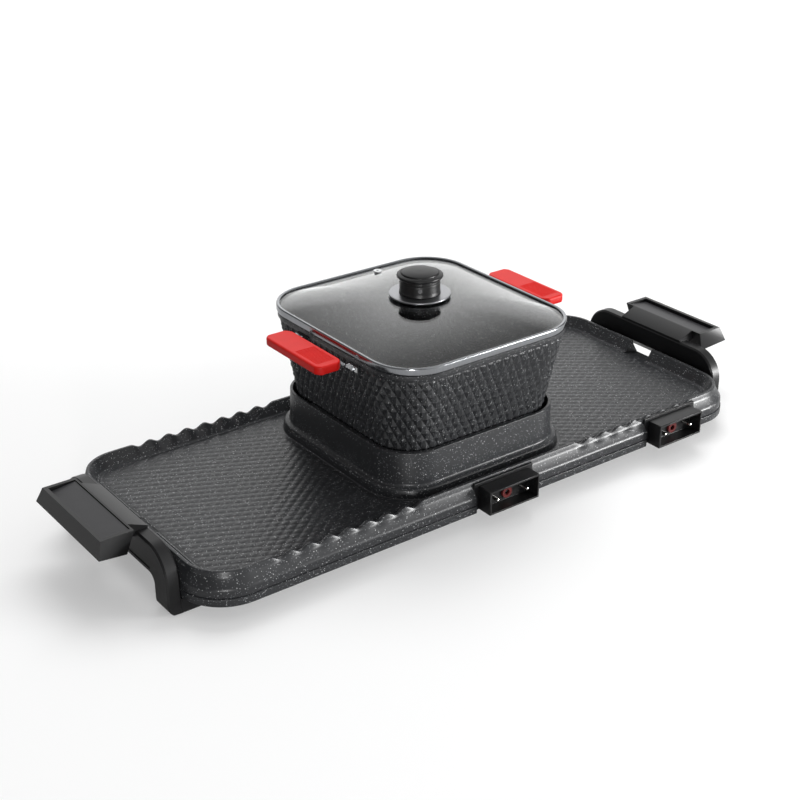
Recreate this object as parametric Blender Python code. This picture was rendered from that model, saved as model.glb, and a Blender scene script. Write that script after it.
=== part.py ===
"""Electric grill with a lift-off hot pot: cast tray with a collar, square pot, glass lid, two end handles.

Every length is in metres. X runs along the tray, the sockets face -Y, and Z is up from the table.
The pieces are drawn about the middle of the tray and hang on one empty, which puts the middle of
the whole outline over the origin.
"""
import math

import bmesh
import bpy
from mathutils import Matrix, Vector

# Seats and clearances
SEAT_GAP = 0.0003
CUT_OVERRUN = 0.004
HOLE_OVERRUN = 0.001
SMOOTH_ANGLE = math.radians(35)
FLAT_ANGLE = math.radians(0.02)

# Shares of a rounding at which its middle points lie
FILLET_MIDDLE_SHARE = 0.25
BASE_IN_SHARE = 0.17
BASE_UP_SHARE = 0.33
BASE_LOW_SHARE = 0.10
MITRE_FLOOR = 0.5

# Tray: rim rectangle, heights above the table
RIM_HALF_LENGTH = 0.340
COLLAR_SIDE_ROOM = 0.0220
RIM_CORNER_RADIUS = 0.0397
TRAY_FOOT_Z = 0.017
RIM_RISE = 0.0124
FLOOR_Z = 0.0372
FLOOR_THICKNESS = 0.0035
CORNER_STEPS = 7

# Tray wall: how far each edge lies outside the rim line
RIM_INNER_SET = 0.0010
RIM_OUTER_SET = 0.0022
RIM_EDGE_ROUND = 0.0007
FLOOR_EDGE_SET = 0.0085
FLOOR_FILLET = 0.0014
FLOOR_MARGIN = 0.0008
SKIRT_NECK_SET = 0.0034
SKIRT_NECK_DROP = 0.0056
SKIRT_FLARE_SET = 0.0072
SKIRT_FLARE_DROP = 0.0118
SKIRT_SET = 0.0100
SKIRT_TOP_DROP = 0.0156
GROOVE_RISE = 0.0084
GROOVE_HEIGHT = 0.0014
GROOVE_DEPTH = 0.0014
BAND_SET = 0.0108
WALL_THICKNESS = 0.0032
WALL_HOLLOW_DROP = 0.0073

# Scalloped long walls
SCALLOP_PITCH = 0.0220
SCALLOP_DEPTH = 0.0045
SCALLOP_FIRST_X = 0.100
SCALLOP_COUNT = 8
SCALLOP_STEPS = 6

# Drain notch in each end wall
NOTCH_WIDTH = 0.034
NOTCH_SIDE_WALL = 0.003
NOTCH_DROP = 0.0004
NOTCH_FALL = 0.0050
NOTCH_START = 0.0140
NOTCH_BLOCK_DEPTH = 0.0082
WALL_FILL_START = 0.0036

# Collar that holds the pot
COLLAR_ROUND = 0.0045
COLLAR_HEIGHT = 0.0285
COLLAR_WALL = 0.0020
POT_CLEARANCE = 0.0007
COLLAR_DRAFT = 0.0012
LEDGE_WIDTH = 0.0055
LEDGE_DEPTH = 0.0080
LEDGE_GAP_RUN_X = 0.0030
LEDGE_GAP_RUN_Y = 0.0200
LEDGE_GAP_RIM = 0.0028
PLINTH_SET = 0.0085
PLINTH_UNDER_INSET = 0.0009
PLINTH_HEIGHT = 0.0116
PLINTH_SHOULDER_RISE = 0.0068
WELL_RISE = 0.0188
WELL_FILLET = 0.0080

# Pot
POT_HEIGHT = 0.1178
POT_LIP_HEIGHT = 0.0056
POT_LIP_REACH_X = 0.0030
POT_LIP_REACH_Y = 0.0038
POT_TOP_HALF_X = 0.1146
POT_TOP_HALF_Y = 0.1222
POT_TOP_RADIUS = 0.0460
POT_TAPER_X = 0.0132
POT_TAPER_Y = 0.0191
POT_TAPER_RADIUS = 0.0060
PATTERN_TOP_DROP = 0.0086
PATTERN_FOOT_RISE = 0.0117
PATTERN_COLUMNS = 84
PATTERN_LEVELS = 11
PATTERN_RELIEF = 0.0014
POT_BASE_ROUND = 0.0150
POT_WALL = 0.0030

# Lid
LID_OVERHANG = 0.0012
LID_RIM_HEIGHT = 0.0088
LID_RIM_SHEET = 0.0009
LID_RIM_LIP = 0.0036
GLASS_THICKNESS = 0.0040
GLASS_RISE = 0.0156
GLASS_FLAT_EDGE = 0.0042
GLASS_SEAT_RADIUS = 0.0250
GLASS_LOOPS = 6
VENT_X = 0.017
VENT_INSET = 0.0292
VENT_RADIUS = 0.0036
VENT_FLANGE = 0.0016
VENT_BORE = 0.0013

# Knob, turned about the lid's middle
KNOB_BORE = 0.0026
KNOB_FLANGE_RADIUS = 0.0324
KNOB_FLANGE_THICKNESS = 0.0036
KNOB_FLANGE_EDGE = 0.0009
KNOB_NECK_RADIUS = 0.0218
KNOB_NECK_HEIGHT = 0.0158
KNOB_CAP_RADIUS = 0.0243
KNOB_CAP_EDGE = 0.0040
KNOB_CAP_CHAMFER = 0.0010
KNOB_CAP_LEDGE = 0.0046
KNOB_CAP_STEP = 0.0014
KNOB_CAP_DOME = 0.0026
KNOB_DOME_STEPS = 4
KNOB_WASHER_RADIUS = 0.0226
KNOB_WASHER_THICKNESS = 0.0048
KNOB_WASHER_EDGE = 0.0012
KNOB_SCREW_RADIUS = 0.0021
KNOB_SCREW_HEAD = 0.0048
KNOB_SCREW_HEAD_HEIGHT = 0.0026
KNOB_SCREW_REACH = 0.0100
TURN_STEPS = 28
SMALL_TURN_STEPS = 12

# Pot grips and their brackets
GRIP_ROOM = 0.0117
GRIP_DEPTH = 0.0307
GRIP_HALF_WIDTH = 0.0495
GRIP_OUTER_CUT = 0.0060
GRIP_INNER_CUT = 0.0080
GRIP_LIFT = 0.0011
GRIP_THICKNESS = 0.0092
GRIP_EDGE_ROUND = 0.0016
GRIP_EDGE_STEPS = 2
GRIP_EDGE_PROFILE = 0.5
GRIP_RIB_GROOVES = 14
GRIP_RIB_PITCH = 0.0026
GRIP_RIB_START = 0.0042
GRIP_GROOVE_WIDTH = 0.0012
GRIP_GROOVE_DEPTH = 0.0005
GRIP_RIB_BORDER = 0.0052
BRACKET_ARM_INSET = 0.0095
BRACKET_FOOT_LENGTH = 0.0150
BRACKET_SHEET = 0.0018
BRACKET_HEIGHT = 0.0060
BRACKET_DROP = 0.0107
BRACKET_COVER = 0.0110
BRACKET_PAD_REACH = 0.0026
BRACKET_PAD_HEIGHT = 0.0082
BRACKET_BEND_X = 0.0045
BRACKET_SCREW_RADIUS = 0.0016
BRACKET_SCREW_HEAD = 0.0030
BRACKET_SCREW_HEAD_HEIGHT = 0.0016
SCREW_CROWN_SHARE = 0.7
SCREW_FACE_SHARE = 0.75
SCREW_EDGE_SHARE = 0.33
BRACKET_SCREW_DEPTH = 0.0034

# End handles
BAR_SEAT = 0.0005
BAR_DEPTH = 0.0140
BAR_LIFT = 0.0174
BAR_HEIGHT = 0.0335
BAR_UNDER_RISE = 0.0090
LEG_OUTER_Y = 0.1040
LEG_WIDTH = 0.0260
SHOULDER_RADIUS = 0.0320
ARMPIT_RADIUS = 0.0080
BAR_CHAMFER = 0.0018
BAR_GROOVE_RISE = 0.0050
BAR_GROOVE_WIDTH = 0.0026
BAR_GROOVE_DEPTH = 0.0008
BAR_GROOVE_INSET = 0.0060
HANDLE_FOOT_Z = 0.0012
FOOT_EDGE_CUT = 0.0015
TOE_RADIUS = 0.0105
TOE_STEPS = 5
FOOT_REACH = 0.0333
FOOT_ENTRY = 0.0036
FOOT_LIFT = 0.0004
SHOULDER_STEPS = 12
PADDLE_LIFT = 0.0100
PADDLE_ROOM = 0.0067
PADDLE_DEPTH = 0.0340
PADDLE_HALF_WIDTH = 0.0612
PADDLE_LEAN_INNER = 0.0080
PADDLE_LEAN_OUTER = 0.0055
PADDLE_NARROWING = 0.0022
PADDLE_FLARE = 0.0061
PADDLE_FALL_INNER = 0.0240
PADDLE_FALL_OUTER = 0.0157
WEB_INSET = 0.0132
WEB_THICKNESS = 0.0090
WEB_LIFT = 0.0018
PANEL_BORDER = 0.0042
PANEL_DROP_INNER = 0.0010
PANEL_DROP_OUTER = 0.0040
PANEL_THICKNESS = 0.0014
PAD_INSET = 0.0058
PAD_RADIUS = 0.0060
PAD_DEPTH = 0.0016
HANDLE_SCREW_INSET = 0.0193
HANDLE_SCREW_RADIUS = 0.0020
HANDLE_SCREW_HEAD = 0.0038
HANDLE_SCREW_HEAD_HEIGHT = 0.0030
HANDLE_SCREW_SINK = 0.0016
HANDLE_SCREW_GRIP = 0.0100
HANDLE_BOSS_RADIUS = 0.0068
HANDLE_BOSS_BURY = 0.0020

# Heating tubes, pressed up under the castings
TUBE_RADIUS = 0.0033
TUBE_BEND_RADIUS = 0.0160
TUBE_BEND_STEPS = 4
TUBE_END_INSET = 0.0057
GRILL_LOOP_FRONT_INSET = 0.0460
GRILL_LOOP_BACK_INSET = 0.0070
GRILL_LOOP_SPACING = 0.0115
GRILL_LOOP_END_INSET = 0.0400
GRILL_LOOP_COLLAR_ROOM = 0.0488
POT_RING_RADIUS = 0.0700
POT_RING_STEPS = 40
POT_DROP_START = 0.0100
POT_DROP_RUN = 0.0220
CLAMP_SHEET = 0.0012
CLAMP_LENGTH = 0.0080
CLAMP_PLAY = 0.0007
CLAMP_FOOT = 0.0080
CLAMP_Y = 0.0200
CLAMP_STEPS = 6

# Bottom cover and its screws
COVER_SET = 0.0015
COVER_RISE = 0.0020
COVER_SHEET = 0.0012
COVER_LIP = 0.0030
COVER_BOSS_RADIUS = 0.0050
COVER_SCREW_INSET = 0.1100
COVER_SCREW_HUB_Y = 0.0400
COVER_SCREW_RADIUS = 0.0015
COVER_SCREW_HEAD = 0.0032
COVER_SCREW_HEAD_HEIGHT = 0.0014
COVER_SCREW_GRIP = 0.0080
COVER_RELIEF_RADIUS = 0.0085
VENT_SLOT_LENGTH = 0.0340
VENT_SLOT_WIDTH = 0.0050
VENT_SLOT_PITCH = 0.0160
VENT_SLOT_ROWS = 3
VENT_SLOT_ROW_Y = 0.0480

# Sockets on the front wall
SOCKET_CENTRE_X = 0.0
SOCKET_END_INSET = 0.1000
SOCKET_HALF_WIDTH = 0.0327
SOCKET_FOOT_RISE = 0.0006
SOCKET_TOP_DROP = 0.0050
SOCKET_DEPTH = 0.0215
SOCKET_WALL = 0.0022
SOCKET_BACK_WALL = 0.0030
SOCKET_EDGE = 0.0005
FLANGE_BORDER = 0.0058
FLANGE_FOOT_RISE = 0.0004
FLANGE_TOP_DROP = 0.0020
FLANGE_SHEET = 0.0030
WINDOW_SET = 0.0025
PIN_SPACING = 0.0392
PIN_RADIUS = 0.0020
PIN_CROWN_SHARE = 0.7
PIN_DROP_SHARE = 0.3
PIN_TIP_INSET = 0.0028
BUSH_RADIUS = 0.0045
BUSH_START_ROOM = 0.0009
BUSH_END_REACH = 0.0027
PROBE_RADIUS = 0.0045
PROBE_BORE = 0.0032
PROBE_DEPTH = 0.0410
SEAL_RADIUS = 0.0062
SEAL_THICKNESS = 0.0024
LUG_WIDTH = 0.0080
LUG_INSET = 0.0020
LUG_DROP = 0.0066

# Places that follow from the sizes above: pot, collar and tray
POT_FOOT_HALF_Y = POT_TOP_HALF_Y - POT_TAPER_Y
WELL_FLOOR_Z = FLOOR_Z + WELL_RISE
COLLAR_TOP_Z = WELL_FLOOR_Z + COLLAR_HEIGHT
POT_BASE_Z = WELL_FLOOR_Z + SEAT_GAP
PATTERN_FOOT_Z = POT_BASE_Z + PATTERN_FOOT_RISE
POT_LIP_TOP_Z = POT_BASE_Z + POT_HEIGHT
PATTERN_TOP_Z = POT_LIP_TOP_Z - PATTERN_TOP_DROP
PATTERN_HEIGHT = PATTERN_TOP_Z - PATTERN_FOOT_Z
COLLAR_SHARE = (COLLAR_TOP_Z - PATTERN_FOOT_Z) / PATTERN_HEIGHT
POT_AT_COLLAR_Y = POT_FOOT_HALF_Y + POT_TAPER_Y * COLLAR_SHARE + PATTERN_RELIEF
COLLAR_HALF_Y = POT_AT_COLLAR_Y + POT_CLEARANCE + LEDGE_WIDTH
RIM_HALF_DEPTH = COLLAR_HALF_Y + COLLAR_SIDE_ROOM
RIM_Z = FLOOR_Z + RIM_RISE
SKIRT_NECK_Z = RIM_Z - SKIRT_NECK_DROP
SKIRT_FLARE_Z = RIM_Z - SKIRT_FLARE_DROP
SKIRT_TOP_Z = RIM_Z - SKIRT_TOP_DROP
GROOVE_Z = TRAY_FOOT_Z + GROOVE_RISE
WALL_HOLLOW_TOP_Z = RIM_Z - WALL_HOLLOW_DROP
NOTCH_BLOCK_FOOT_Z = FLOOR_Z - NOTCH_BLOCK_DEPTH
POT_FOOT_HALF_X = POT_TOP_HALF_X - POT_TAPER_X
POT_AT_COLLAR_X = POT_FOOT_HALF_X + POT_TAPER_X * COLLAR_SHARE + PATTERN_RELIEF
COLLAR_HALF_X = POT_AT_COLLAR_X + POT_CLEARANCE + LEDGE_WIDTH
POT_FOOT_RADIUS = POT_TOP_RADIUS - POT_TAPER_RADIUS
COLLAR_RADIUS = POT_FOOT_RADIUS + COLLAR_ROUND
PLINTH_TOP_Z = FLOOR_Z + PLINTH_HEIGHT
PLINTH_SHOULDER_Z = FLOOR_Z + PLINTH_SHOULDER_RISE

# Places that follow: lip, lid, grips and brackets
POT_LIP_HALF_X = POT_TOP_HALF_X + POT_LIP_REACH_X
POT_LIP_HALF_Y = POT_TOP_HALF_Y + POT_LIP_REACH_Y
POT_LIP_RADIUS = POT_TOP_RADIUS + POT_LIP_REACH_X
LID_HALF_X = POT_LIP_HALF_X + LID_OVERHANG
LID_HALF_Y = POT_LIP_HALF_Y + LID_OVERHANG
LID_RADIUS = POT_LIP_RADIUS + LID_OVERHANG
VENT_Y = LID_HALF_Y - VENT_INSET
GRIP_INNER_X = LID_HALF_X + GRIP_ROOM
GRIP_OUTER_X = GRIP_INNER_X + GRIP_DEPTH
GRIP_TOP_Z = POT_LIP_TOP_Z + GRIP_LIFT
BRACKET_ARM_Y = GRIP_HALF_WIDTH - BRACKET_ARM_INSET
BRACKET_FOOT_Z = POT_LIP_TOP_Z - BRACKET_DROP
BRACKET_REACH_X = GRIP_OUTER_X - BRACKET_COVER
BRACKET_PAD_X = POT_TOP_HALF_X + BRACKET_PAD_REACH

# Places that follow: end handles
BAR_INNER_X = RIM_HALF_LENGTH + BAND_SET + BAR_SEAT
BAR_OUTER_X = BAR_INNER_X + BAR_DEPTH
BAR_TOP_Z = RIM_Z + BAR_LIFT
BAR_UNDER_Z = BAR_TOP_Z - BAR_HEIGHT
LEG_INNER_Y = LEG_OUTER_Y - LEG_WIDTH
FOOT_INNER_X = BAR_INNER_X - FOOT_REACH
PADDLE_TOP_Z = BAR_TOP_Z + PADDLE_LIFT
PADDLE_INNER_X = BAR_OUTER_X + PADDLE_ROOM
PADDLE_OUTER_X = PADDLE_INNER_X + PADDLE_DEPTH
PADDLE_LOW_INNER_X = PADDLE_INNER_X + PADDLE_LEAN_INNER
PADDLE_LOW_OUTER_X = PADDLE_OUTER_X + PADDLE_LEAN_OUTER
PADDLE_LOW_INNER_Y = PADDLE_HALF_WIDTH - PADDLE_NARROWING
PADDLE_LOW_OUTER_Y = PADDLE_HALF_WIDTH + PADDLE_FLARE
PADDLE_LOW_INNER_Z = PADDLE_TOP_Z - PADDLE_FALL_INNER
PADDLE_LOW_OUTER_Z = PADDLE_TOP_Z - PADDLE_FALL_OUTER
WEB_HALF_WIDTH = PADDLE_HALF_WIDTH - WEB_INSET
PAD_X = BAR_INNER_X - PAD_INSET
HANDLE_SCREW_X = BAR_INNER_X - HANDLE_SCREW_INSET
HANDLE_SCREW_TOP_Z = TRAY_FOOT_Z + HANDLE_SCREW_GRIP

# Places that follow: heaters, cover and sockets
TUBE_END_Y = RIM_HALF_DEPTH - TUBE_END_INSET
GRILL_LOOP_FRONT_Y = RIM_HALF_DEPTH - GRILL_LOOP_FRONT_INSET
GRILL_LOOP_BACK_Y = RIM_HALF_DEPTH - GRILL_LOOP_BACK_INSET
GRILL_LOOP_INNER_BACK_Y = GRILL_LOOP_BACK_Y - GRILL_LOOP_SPACING
GRILL_LOOP_OUTER_X = RIM_HALF_LENGTH - GRILL_LOOP_END_INSET
GRILL_LOOP_INNER_X = COLLAR_HALF_X + GRILL_LOOP_COLLAR_ROOM
POT_DROP_START_Y = POT_RING_RADIUS + POT_DROP_START
POT_DROP_END_Y = POT_DROP_START_Y + POT_DROP_RUN
COVER_Z = TRAY_FOOT_Z + COVER_RISE
COVER_SCREW_X = RIM_HALF_LENGTH - COVER_SCREW_INSET
SOCKET_RIGHT_X = RIM_HALF_LENGTH - SOCKET_END_INSET
SOCKET_BOTTOM_Z = TRAY_FOOT_Z + SOCKET_FOOT_RISE
SOCKET_TOP_Z = RIM_Z - SOCKET_TOP_DROP
WINDOW_Y = RIM_HALF_DEPTH + WINDOW_SET
SOCKET_FRONT_Y = WINDOW_Y + SOCKET_DEPTH
FLANGE_HALF_WIDTH = SOCKET_HALF_WIDTH + FLANGE_BORDER
FLANGE_FOOT_Z = TRAY_FOOT_Z + FLANGE_FOOT_RISE
FLANGE_TOP_Z = RIM_Z - FLANGE_TOP_DROP
PIN_TIP_Y = SOCKET_FRONT_Y - PIN_TIP_INSET
BUSH_START_Y = TUBE_END_Y + BUSH_START_ROOM
BUSH_END_Y = WINDOW_Y + BUSH_END_REACH
PROBE_DEEP_Y = RIM_HALF_DEPTH - PROBE_DEPTH
LUG_TOP_Z = RIM_Z - LUG_DROP

# Places that follow: undersides, middles and stacked heights
FLOOR_UNDER_Z = FLOOR_Z - FLOOR_THICKNESS
WELL_UNDER_Z = WELL_FLOOR_Z - FLOOR_THICKNESS
BAND_HALF_DEPTH = RIM_HALF_DEPTH + BAND_SET
CENTRE_Y = (SOCKET_FRONT_Y - BAND_HALF_DEPTH) / 2
TUBE_Z = FLOOR_UNDER_Z - SEAT_GAP - TUBE_RADIUS
POT_TUBE_Z = WELL_UNDER_Z - SEAT_GAP - TUBE_RADIUS
LEG_MIDDLE_Y = (LEG_INNER_Y + LEG_OUTER_Y) / 2
LID_FOOT_Z = POT_LIP_TOP_Z + SEAT_GAP
GLASS_EDGE_Z = LID_FOOT_Z + LID_RIM_HEIGHT / 2
GLASS_TOP_Z = GLASS_EDGE_Z + GLASS_THICKNESS / 2 + GLASS_RISE
KNOB_Z = GLASS_TOP_Z + SEAT_GAP
GRIP_FOOT_Z = GRIP_TOP_Z - GRIP_THICKNESS
BRACKET_BAR_Z = (GRIP_TOP_Z + GRIP_FOOT_Z) / 2
SOCKET_CENTRES = (SOCKET_CENTRE_X, SOCKET_RIGHT_X)
COVER_SCREW_PLACES = (
    (COVER_SCREW_X, 0.0),
    (-COVER_SCREW_X, 0.0),
    (0.0, COVER_SCREW_HUB_Y),
    (0.0, -COVER_SCREW_HUB_Y),
)

FINISHES = {
    "stone_coat": ((0.036, 0.036, 0.038), 0.42, 0.10),
    "black_plastic": ((0.012, 0.012, 0.013), 0.38, 0.0),
    "panel_plastic": ((0.055, 0.055, 0.058), 0.45, 0.0),
    "red_silicone": ((0.80, 0.035, 0.020), 0.45, 0.0),
    "clear_glass": ((0.80, 0.84, 0.84), 0.04, 0.0),
    "steel": ((0.66, 0.66, 0.67), 0.22, 1.0),
    "zinc_steel": ((0.50, 0.50, 0.52), 0.38, 1.0),
    "heater_steel": ((0.20, 0.18, 0.17), 0.45, 1.0),
    "ceramic": ((0.80, 0.78, 0.72), 0.35, 0.0),
    "black_rubber": ((0.020, 0.020, 0.020), 0.70, 0.0),
}


def clear_scene():
    """Take every object out of the scene."""
    for thing in list(bpy.data.objects):
        bpy.data.objects.remove(thing, do_unlink=True)


def finish(name):
    """One Principled material for each finish."""
    known = bpy.data.materials.get(name)
    if known:
        return known
    colour, roughness, metallic = FINISHES[name]
    made = bpy.data.materials.new(name)
    made.use_nodes = True
    shader = made.node_tree.nodes["Principled BSDF"]
    shader.inputs["Base Color"].default_value = (*colour, 1.0)
    shader.inputs["Roughness"].default_value = roughness
    shader.inputs["Metallic"].default_value = metallic
    if name == "clear_glass":
        shader.inputs["Transmission Weight"].default_value = 1.0
    made.diffuse_color = (*colour, 1.0)
    return made


def place(thing, parent):
    """Link an object to the scene under its parent empty."""
    bpy.context.scene.collection.objects.link(thing)
    thing.parent = parent
    return thing


def solid(name, mesh_data, parent, coat):
    """Turn a bmesh into a named object with flat faces that point out, smooth rounds and its finish."""
    bmesh.ops.connect_verts_nonplanar(mesh_data, angle_limit=FLAT_ANGLE, faces=mesh_data.faces)
    bmesh.ops.recalc_face_normals(mesh_data, faces=mesh_data.faces)
    mesh = bpy.data.meshes.new(name)
    mesh_data.to_mesh(mesh)
    mesh_data.free()
    mesh.shade_smooth()
    mesh.set_sharp_from_angle(angle=SMOOTH_ANGLE)
    if coat:
        mesh.materials.append(finish(coat))
    return place(bpy.data.objects.new(name, mesh), parent)


def guide(name, mesh_data, parent):
    """A cutter or an addition that only serves a Boolean."""
    made = solid(name, mesh_data, parent, None)
    made.hide_render = True
    made.display_type = "WIRE"
    return made


def combine(target, other, operation):
    """Add one exact Boolean to the target."""
    change = target.modifiers.new(other.name, "BOOLEAN")
    change.solver = "EXACT"
    change.operation = operation
    change.object = other
    return target


def cut(target, other):
    """Take the other shape away from the target."""
    return combine(target, other, "DIFFERENCE")


def join(target, other):
    """Make the other shape one with the target."""
    return combine(target, other, "UNION")


def rounded_loop(half_x, half_y, radius, z):
    """Points of a rounded rectangle, anticlockwise from above, CORNER_STEPS to a corner."""
    points = []
    for corner, (side_x, side_y) in enumerate(((1, 1), (-1, 1), (-1, -1), (1, -1))):
        for step in range(CORNER_STEPS + 1):
            angle = (corner + step / CORNER_STEPS) * math.pi / 2
            points.append(Vector((
                side_x * (half_x - radius) + radius * math.cos(angle),
                side_y * (half_y - radius) + radius * math.sin(angle),
                z,
            )))
    return points


def ring_of_points(mesh_data, points):
    """Vertices of one loop."""
    return [mesh_data.verts.new(point) for point in points]


def skin(mesh_data, inner, outer):
    """Quads between two loops of the same count."""
    count = len(inner)
    for index in range(count):
        after = (index + 1) % count
        mesh_data.faces.new((inner[index], outer[index], outer[after], inner[after]))


def solid_from_loops(loops, closed_section=False):
    """A closed skin over a run of loops: capped at both ends, or joined last to first."""
    mesh_data = bmesh.new()
    rings = [ring_of_points(mesh_data, points) for points in loops]
    for inner, outer in zip(rings, rings[1:]):
        skin(mesh_data, inner, outer)
    if closed_section:
        skin(mesh_data, rings[-1], rings[0])
    else:
        mesh_data.faces.new(rings[0])
        mesh_data.faces.new(list(reversed(rings[-1])))
    return mesh_data


def add_prism(mesh_data, outline, start, end, point_at):
    """Push a flat outline from start to end. point_at(u, v, w) puts a point in space."""
    first = [mesh_data.verts.new(point_at(u, v, start)) for u, v in outline]
    last = [mesh_data.verts.new(point_at(u, v, end)) for u, v in outline]
    skin(mesh_data, first, last)
    mesh_data.faces.new(first)
    mesh_data.faces.new(list(reversed(last)))


def add_box(mesh_data, low, high):
    """A plain block between two corners."""
    outline = ((low[0], low[1]), (high[0], low[1]), (high[0], high[1]), (low[0], high[1]))
    add_prism(mesh_data, outline, low[2], high[2], lambda u, v, w: (u, v, w))


def circle(radius, steps):
    """Outline of a circle."""
    turns = [2 * math.pi * step / steps for step in range(steps)]
    return [(radius * math.cos(turn), radius * math.sin(turn)) for turn in turns]


def add_rod(mesh_data, centre, radius, start, end, axis="Z", steps=SMALL_TURN_STEPS):
    """A round rod along Z, or along Y where axis says so."""
    if axis == "Z":
        add_prism(mesh_data, circle(radius, steps), start, end,
                  lambda u, v, w: (centre[0] + u, centre[1] + v, w))
    else:
        add_prism(mesh_data, circle(radius, steps), start, end,
                  lambda u, v, w: (centre[0] + u, w, centre[1] + v))


def add_stepped_rod(mesh_data, x, y, profile):
    """An upright rod that changes its radius: one (radius, z) point after another, upwards."""
    rings = []
    for radius, z in profile:
        rings.append([mesh_data.verts.new((x + u, y + v, z)) for u, v in circle(radius, SMALL_TURN_STEPS)])
    for lower, upper in zip(rings, rings[1:]):
        skin(mesh_data, lower, upper)
    mesh_data.faces.new(rings[0])
    mesh_data.faces.new(list(reversed(rings[-1])))


def turned(profile, steps=TURN_STEPS):
    """Turn (radius, z) points about Z. The profile is closed, or starts and ends on the axis."""
    on_axis = profile[0][0] == 0
    mesh_data = bmesh.new()
    spun = profile[1:-1] if on_axis else profile
    rings = []
    for radius, z in spun:
        rings.append([mesh_data.verts.new((u, v, z)) for u, v in circle(radius, steps)])
    for inner, outer in zip(rings, rings[1:]):
        skin(mesh_data, inner, outer)
    if on_axis:
        for ring, (_, z) in ((rings[0], profile[0]), (rings[-1], profile[-1])):
            pole = mesh_data.verts.new((0, 0, z))
            for index in range(steps):
                mesh_data.faces.new((pole, ring[index], ring[(index + 1) % steps]))
    else:
        skin(mesh_data, rings[-1], rings[0])
    return mesh_data


def lay_along_y(mesh_data, x, z):
    """Lay a piece that was turned about Z along Y, its top towards -Y, and centre it on x and z."""
    turn = Matrix.Translation((x, 0, z)) @ Matrix.Rotation(math.pi / 2, 4, "X")
    bmesh.ops.transform(mesh_data, matrix=turn, verts=mesh_data.verts)
    return mesh_data


# Tray

def tray_loop(offset, z):
    """The rim rectangle grown by offset."""
    return rounded_loop(RIM_HALF_LENGTH + offset, RIM_HALF_DEPTH + offset, RIM_CORNER_RADIUS + offset, z)


def collar_loop(offset, z):
    """The collar's outer rectangle grown by offset."""
    return rounded_loop(COLLAR_HALF_X + offset, COLLAR_HALF_Y + offset, COLLAR_RADIUS + offset, z)


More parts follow.
